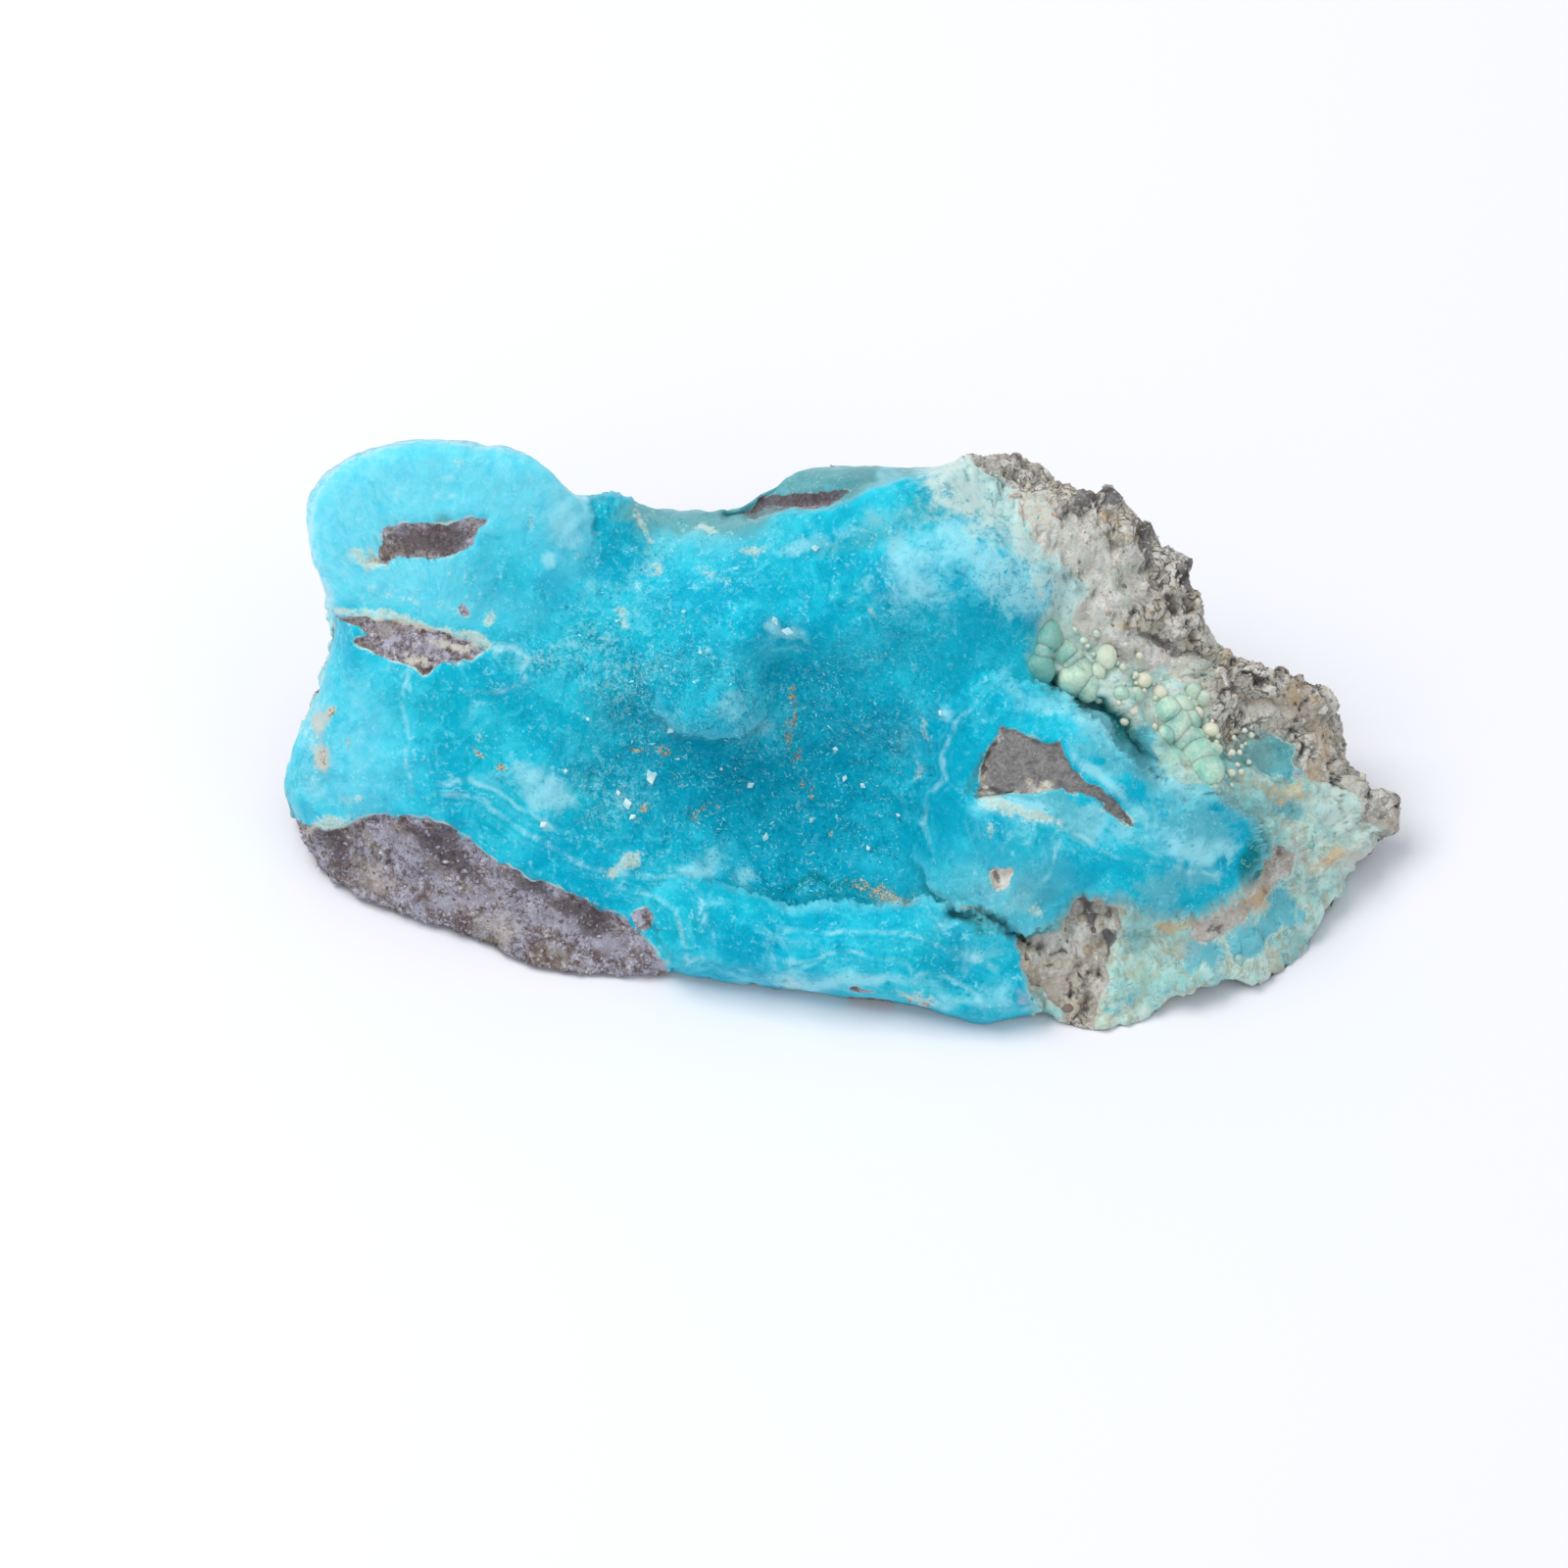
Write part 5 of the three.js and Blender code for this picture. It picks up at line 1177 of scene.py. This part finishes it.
def ball_points(middles, radii, columns, rows, lumpiness, source):
    """Lumpy balls, each stretched a little at random: circles of latitude of radius sin(t) at
    height cos(t), pushed in and out by noise, with one point at each pole."""
    tilt = np.linspace(0, math.pi, rows + 1)[1:-1, None]
    turn = np.linspace(0, 2 * math.pi, columns, endpoint=False)[None, :]
    ringed = np.stack([np.sin(tilt) * np.cos(turn), np.sin(tilt) * np.sin(turn),
                       np.cos(tilt) * np.ones_like(turn)], axis=-1).reshape(-1, 3)
    unit = np.concatenate([ringed, [[0, 0, 1], [0, 0, -1]]])
    stretch = source.uniform(1 - lumpiness, 1 + lumpiness, (len(radii), 1, 3))
    arms = radii[:, None, None] * unit[None] * stretch
    lump = 1 + lumpiness * smooth_noise(middles[:, None] + arms, 0.8, 90)[..., None]
    return (middles[:, None] + arms * lump).reshape(-1, 3)


def copies(faces, corners, count):
    """The faces of count equal shapes that follow one another, from those of the first."""
    return (faces[None] + corners * np.arange(count)[:, None, None]).reshape(-1, faces.shape[1])


def ball_faces(count, columns, rows):
    """Triangles of each ball: two for each cell between circles, and a fan at each pole."""
    numbers = np.arange((rows - 1) * columns).reshape(rows - 1, columns)
    beside = np.roll(numbers, -1, axis=1)
    body_faces = np.concatenate([
        np.stack([numbers[:-1], numbers[1:], beside[1:]], axis=-1).reshape(-1, 3),
        np.stack([numbers[:-1], beside[1:], beside[:-1]], axis=-1).reshape(-1, 3)])
    north = numbers.size
    caps = np.concatenate([
        np.stack([np.full(columns, north), numbers[0], beside[0]], axis=-1),
        np.stack([np.full(columns, north + 1), beside[-1], numbers[-1]], axis=-1)])
    return copies(np.concatenate([body_faces, caps]), numbers.size + 2, count)


bead_source = np.random.default_rng(7)


def bead_piece(name, along, up, radii, fields, columns, rows):
    """A piece of beads, each sunk a little below the face."""
    middles = face_to_upright(along, up, front_depth(along, up) - SINK * radii)
    return mesh_piece(name, ball_points(middles, radii, columns, rows, 0.2, bead_source),
                      ball_faces(len(radii), columns, rows), fields)


along, up, radii, tan, glassy = np.array(BEADS).T
beads = bead_piece("green_beads", along, up, radii, {"tan": tan, "glassy": glassy}, 28, 16)
small_u = bead_source.uniform(12.5, 24, SMALL_BEADS)
small_v = 5.4 - 0.62 * (small_u - 12) + bead_source.normal(0, 1.1, SMALL_BEADS)
small_radii = bead_source.uniform(*SMALL_BEAD_RADIUS, SMALL_BEADS)
small_fields = {"tan": bead_source.uniform(0.4, 1, SMALL_BEADS), "glassy": np.zeros(SMALL_BEADS)}
small_beads = bead_piece("small_beads", small_u, small_v, small_radii, small_fields, 8, 4)


def bead_material():
    """Waxy pale green, a little see-through, cloudier and tan on some of the small beads."""
    material, start = new_material("bead_wax")
    place = start.place()
    clouds = start.noise(place, 0.9, 3.0, 0.6)
    green_wax = clouds.ramp(0.35, 0.65).blend((146, 202, 188), (206, 232, 208))
    tone = start.field("tan").ramp(0.0, 1.0).blend(green_wax, (230, 226, 204))
    tone = start.field("glassy").ramp(0.0, 1.0, 0.0, 0.9).blend(tone, (108, 176, 166))
    bump = start.noise(place, 0.4, 4.0, 0.6).bump(0.6, 0.3)
    wax = start.shader({
        "Base Color": tone, "Roughness": clouds.ramp(0.3, 0.7, 0.3, 0.45), "Normal": bump, "IOR": 1.6,
        "Subsurface Weight": 0.55, "Subsurface Scale": 0.5 * MM, "Subsurface Radius": (0.9, 1.0, 0.95),
    })
    return finish_material(material, wax)


bead_wax = bead_material()
for piece in (beads, small_beads):
    piece.data.materials.append(bead_wax)
    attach(piece, "root")
    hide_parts("hemimorphite_specimen")

# ---- The druse ----
# Thousands of tiny hemimorphite blades, a tenth to half a millimetre long, which stand on the crust
# in the trough and round the knob and catch the light.

BLADES = 3600
BLADE_LENGTH = (0.1, 0.5)


def scatter(points, cells, chance, count, source):
    """Places on a surface: cells drawn with odds of area times chance, and a place in each."""
    corners = points[cells]
    across = np.cross(corners[:, 2] - corners[:, 0], corners[:, 3] - corners[:, 1])
    odds = np.linalg.norm(across, axis=1) * chance[cells].mean(axis=1)
    chosen = source.choice(len(cells), count, p=odds / odds.sum())
    along = source.uniform(0, 1, (count, 1))
    up = source.uniform(0, 1, (count, 1))
    picked = corners[chosen]
    places = ((1 - along) * (1 - up) * picked[:, 0] + along * (1 - up) * picked[:, 1]
              + along * up * picked[:, 2] + (1 - along) * up * picked[:, 3])
    return places, cells[chosen]


def grain_points(places, facing, lengths, breadths, lean, source):
    """Double-ended grains: a point at each end of a random axis, which lean turns out of the surface
    or, below zero, lays flat on it, and a diamond of two breadths across the middle, each corner
    pushed a little at random."""
    axis = source.normal(0, 1, places.shape)
    if lean < 0:
        axis = np.cross(axis, facing)
    axis += max(lean, 0) * facing
    axis /= np.linalg.norm(axis, axis=1, keepdims=True)
    side = np.cross(axis, facing if lean < 0 else source.normal(0, 1, places.shape))
    side /= np.linalg.norm(side, axis=1, keepdims=True)
    flat = np.cross(axis, side)
    corners = np.stack([axis, -axis, side * breadths[0], flat * breadths[1], -side * breadths[0],
                        -flat * breadths[1]], axis=1)
    corners += source.normal(0, 0.12 * breadths[0], corners.shape)
    return (places[:, None] + corners * lengths[:, None, None] / 2).reshape(-1, 3)


GRAIN_FACES = np.array([[0, 2, 3], [0, 3, 4], [0, 4, 5], [0, 5, 2],
                        [1, 3, 2], [1, 4, 3], [1, 5, 4], [1, 2, 5]])


def sprinkled(chance, count, lengths, power, carried, source):
    """Grains scattered on the specimen: their places, the way the surface faces there, their lengths,
    with fewer long ones the higher the power, and their fields, which are a random tone and the
    carried values of the surface."""
    places, cells = scatter(solid, quads, chance, count, source)
    facing = solid_normals[cells].mean(axis=1)
    shortest, longest = lengths
    length = shortest + (longest - shortest) * source.uniform(0, 1, count) ** power
    fields = {name: values[cells].mean(axis=1) for name, values in carried.items()}
    return places, facing, length, {"tone": source.uniform(0, 1, count), **fields}


def grain_piece(name, chance, count, lengths, power, carried, breadths, lean, seed):
    """A piece of double-ended grains scattered on the specimen."""
    source = np.random.default_rng(seed)
    places, facing, length, fields = sprinkled(chance, count, lengths, power, carried, source)
    return mesh_piece(name, grain_points(places, facing, length, breadths, lean, source),
                      copies(GRAIN_FACES, 6, count), fields, smooth=False)


druse_clumps = smooth_step(rough_noise(body, 1.4, 3, 99), -0.3, 0.6)
frost = painted("frost") * on_front * (1 - within("lobe", -0.5, 0.5)) * (1 - bare)
blade_chance = (druse**1.5 + 0.12 * frost) * (0.03 + druse_clumps**3)
blades = grain_piece("druse_blades", blade_chance, BLADES, BLADE_LENGTH, 3, {}, (0.34, 0.16), 0.3, 21)


def blade_material():
    """Glassy blades: most as blue as the crust under them, some pale, a few white."""
    material, start = new_material("druse_glass")
    tone = start.field("tone")
    colour = tone.ramp(0.2, 0.7).blend((10, 170, 196), (100, 214, 230))
    colour = tone.ramp(0.92, 1.0).blend(colour, (190, 236, 242))
    glass = start.shader({
        "Base Color": colour, "Roughness": tone.ramp(0.0, 1.0, 0.3, 0.15), "IOR": 1.6,
        "Specular IOR Level": 0.35, "Specular Tint": (0.3, 0.85, 1.0, 1.0),
    })
    return finish_material(material, glass)


blades.data.materials.append(blade_material())
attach(blades, "root")
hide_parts("hemimorphite_specimen")

# ---- The rock grains ----
# Angular sand-sized grains that stand out of the broken rock, lavender, white or brown on the lower
# left and behind it, and tan or grey on the ridge and behind that.

ROCK_GRAINS = 9000
ROCK_GRAIN_LENGTH = (0.12, 0.42)

rock_chance = smooth_step(rock, 0.05, 0.4) * (1 - on_base) * np.where(
    on_front > 0.5, 1.1 * bare + 0.5 * within("rough ridge", 0.5, 3), 1)
rock_grains = grain_piece("rock_grains", rock_chance, ROCK_GRAINS, ROCK_GRAIN_LENGTH, 2.5,
                          {"tan_rock": tan_rock}, (0.8, 0.6), 0.2, 33)


def grain_material():
    """Matt grains, brown through lavender to white, or brown through tan to white."""
    material, start = new_material("rock_grit")
    tone = start.field("tone")
    purple = tone.ramp(0.0, 0.8).blend((112, 96, 96), (172, 168, 180))
    tan = tone.ramp(0.0, 0.6).blend((142, 130, 116), (206, 200, 190))
    colour = start.field("tan_rock").blend(purple, tan)
    colour = tone.ramp(0.95, 1.0).blend(colour, (204, 202, 202))
    grit = start.shader({
        "Base Color": colour, "Roughness": tone.ramp(0.0, 1.0, 0.9, 0.5), "IOR": 1.5,
        "Specular IOR Level": 0.35,
    })
    return finish_material(material, grit)


rock_grains.data.materials.append(grain_material())
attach(rock_grains, "root")
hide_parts("hemimorphite_specimen")

# ---- The stones of the ridge ----
# Angular bits of the broken rock, up to two thirds of a millimetre across, that stand half out of the
# ridge and the low rock, and glassy pale green ones like them on the right end.

STONES = 130
STONE_RADIUS = (0.12, 0.34)
STONE_COLUMNS = 6
STONE_ROWS = 4

stone_source = np.random.default_rng(45)
stone_chance = on_front * (within("rough ridge", 0, 1) + 0.35 * within("right end", -0.1, 0.5)
                           + 1.5 * within("low rock", 0, 0.4))
places, facing, radii, fields = sprinkled(stone_chance, STONES, STONE_RADIUS, 2,
                                          {"stony": tan_rock, "teal": painted("teal")}, stone_source)
middles = places - facing * (radii * 0.5)[:, None]
stone_piece = mesh_piece("ridge_stones",
                         ball_points(middles, radii, STONE_COLUMNS, STONE_ROWS, 0.45, stone_source),
                         ball_faces(STONES, STONE_COLUMNS, STONE_ROWS), fields, smooth=False)


def stone_material():
    """Tan, grey, white or brown rock on the ridge; pale green or blue glassy crust off it."""
    material, start = new_material("stone_mixed")
    place = start.place()
    tone = start.field("tone")
    cloud = start.noise(place, 0.4, 4.0, 0.65)
    glassy = tone.ramp(0.2, 0.7).blend((140, 190, 180), (206, 220, 200))
    glassy = start.field("teal").blend(glassy, (104, 190, 204))
    rocky = tone.ramp(0.1, 0.9).blend((184, 168, 148), (222, 218, 208))
    rocky = tone.ramp(0.06, 0.1, 1.0, 0.0).blend(rocky, (130, 114, 104))
    colour = start.field("stony").blend(glassy, rocky)
    colour = cloud.ramp(0.34, 0.44, 0.6, 0.0).blend(colour, (104, 98, 90))
    stone = start.shader({
        "Base Color": colour, "Roughness": cloud.ramp(0.3, 0.7, 0.5, 0.9),
        "Normal": cloud.bump(0.8, 0.2), "IOR": 1.55, "Specular IOR Level": 0.3,
    })
    return finish_material(material, stone)


stone_piece.data.materials.append(stone_material())
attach(stone_piece, "root")
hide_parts("hemimorphite_specimen")

# ---- The flakes ----
# A few thin white slivers of hemimorphite that look loose but are grown fast to the crust. They lie
# flat on it, mostly in the trough.

FLAKES = [  # along the face, up it, length
    (-8.9, -2.4, 1.1), (-5, -2.1, 0.25), (-3.4, -3, 0.5), (1.7, -2.6, 0.4), (2.7, -3, 0.4),
    (-2.6, -5.8, 0.5), (-14.6, -5.1, 0.5), (-10.1, -4, 0.7), (-9.8, -4.7, 0.5), (-10.6, -3.4, 0.4),
    (-0.1, -4.9, 0.35), (-7.7, 0, 0.5), (-2.1, 5.9, 0.6), (-1.4, 5.3, 0.7), (0.1, 9.8, 0.5),
    (-13.4, -2.2, 0.3), (6.9, 0.9, 0.5), (-12.2, 0.6, 0.3), (-6.1, 4.2, 0.35), (1.2, -1, 0.35),
    (4.6, -4.6, 0.3), (3, -6.4, 0.3), (-7, 6.4, 0.3),
]
FLAKE_RISE = 0.22                   # how far a flake's middle stands out of the face

along, up, lengths = np.array(FLAKES).T
places = face_to_upright(along, up, front_depth(along, up) + FLAKE_RISE)
face_way = np.array([0, -math.cos(FACE_LEAN), math.sin(FACE_LEAN)])
flake_points = grain_points(places, np.broadcast_to(face_way, places.shape), lengths, (0.7, 0.25), -1,
                            np.random.default_rng(61))
flakes = mesh_piece("flakes", flake_points, copies(GRAIN_FACES, 6, len(FLAKES)), smooth=False)


def flake_material():
    """Frosted pale blue-white."""
    material, start = new_material("flake_white")
    place = start.place()
    tint = start.noise(place, 0.4, 2.0).ramp(0.4, 0.6).blend((170, 222, 228), (226, 242, 244))
    frosted = start.shader({"Base Color": tint, "Roughness": 0.4, "IOR": 1.6, "Specular IOR Level": 0.4})
    return finish_material(material, frosted)


flakes.data.materials.append(flake_material())
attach(flakes, "root")
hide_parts("hemimorphite_specimen")

# ---- The floor, the light and the camera ----
# A plain white floor, a broad soft light overhead and to the left, a weaker one at the right, and
# a long lens that looks down on the leaning face.

ground = mesh_piece("floor", np.array([[-900.0, -900, 0], [900, -900, 0], [900, 900, 0], [-900, 900, 0]]),
                    np.array([[0, 1, 2, 3]]), smooth=False)
floor_material, floor_start = new_material("white_paper")
floor_tone = floor_start.noise(floor_start.place(), 60.0).blend((241, 240, 247), (244, 243, 249))
paper = floor_start.shader({"Base Color": floor_tone, "Roughness": 0.9, "Specular IOR Level": 0.1})
ground.data.materials.append(finish_material(floor_material, paper))


def soft_light(name, place, size, power, tint):
    """A square area light that faces the specimen, with its place and size in metres."""
    data = bpy.data.lights.new(name, "AREA")
    data.size = size
    data.energy = power
    data.color = tint
    light = bpy.data.objects.new(name, data)
    light.location = place
    light.rotation_mode = "QUATERNION"
    from_light = -light.location
    light.rotation_quaternion = from_light.to_track_quat("-Z", "Y")
    bpy.context.scene.collection.objects.link(light)


soft_light("overhead", (-0.24, 0.04, 0.5), 0.35, 1.9, (1.0, 0.985, 0.95))
soft_light("right_fill", (0.4, -0.3, 0.3), 0.4, 0.2, (0.95, 0.97, 1.0))

world = bpy.data.worlds.new("studio")
world.use_nodes = True
world.node_tree.nodes["Background"].inputs["Color"].default_value = (0.9, 0.95, 1.0, 1)
world.node_tree.nodes["Background"].inputs["Strength"].default_value = 0.66
bpy.context.scene.world = world
bpy.context.scene.view_settings.view_transform = "Standard"

VIEW_DISTANCE = 500.0       # from the camera to the face, in millimetres
VIEW_WIDTH = 84.8           # width of the picture at the face
AIM = (-1.59, -2.915)       # the point of the face in the middle of the picture
aim = face_to_upright(np.array(AIM[0]), np.array(AIM[1]), np.array(0.0))
camera_data = bpy.data.cameras.new("camera")
camera_data.lens = camera_data.sensor_width * VIEW_DISTANCE / VIEW_WIDTH
camera_data.clip_start = 0.01
camera_data.clip_end = 10
camera = bpy.data.objects.new("camera", camera_data)
camera.location = (aim + face_way * VIEW_DISTANCE) * MM
camera.rotation_euler = (math.pi / 2 - FACE_LEAN, 0, 0)
bpy.context.scene.collection.objects.link(camera)
bpy.context.scene.camera = camera
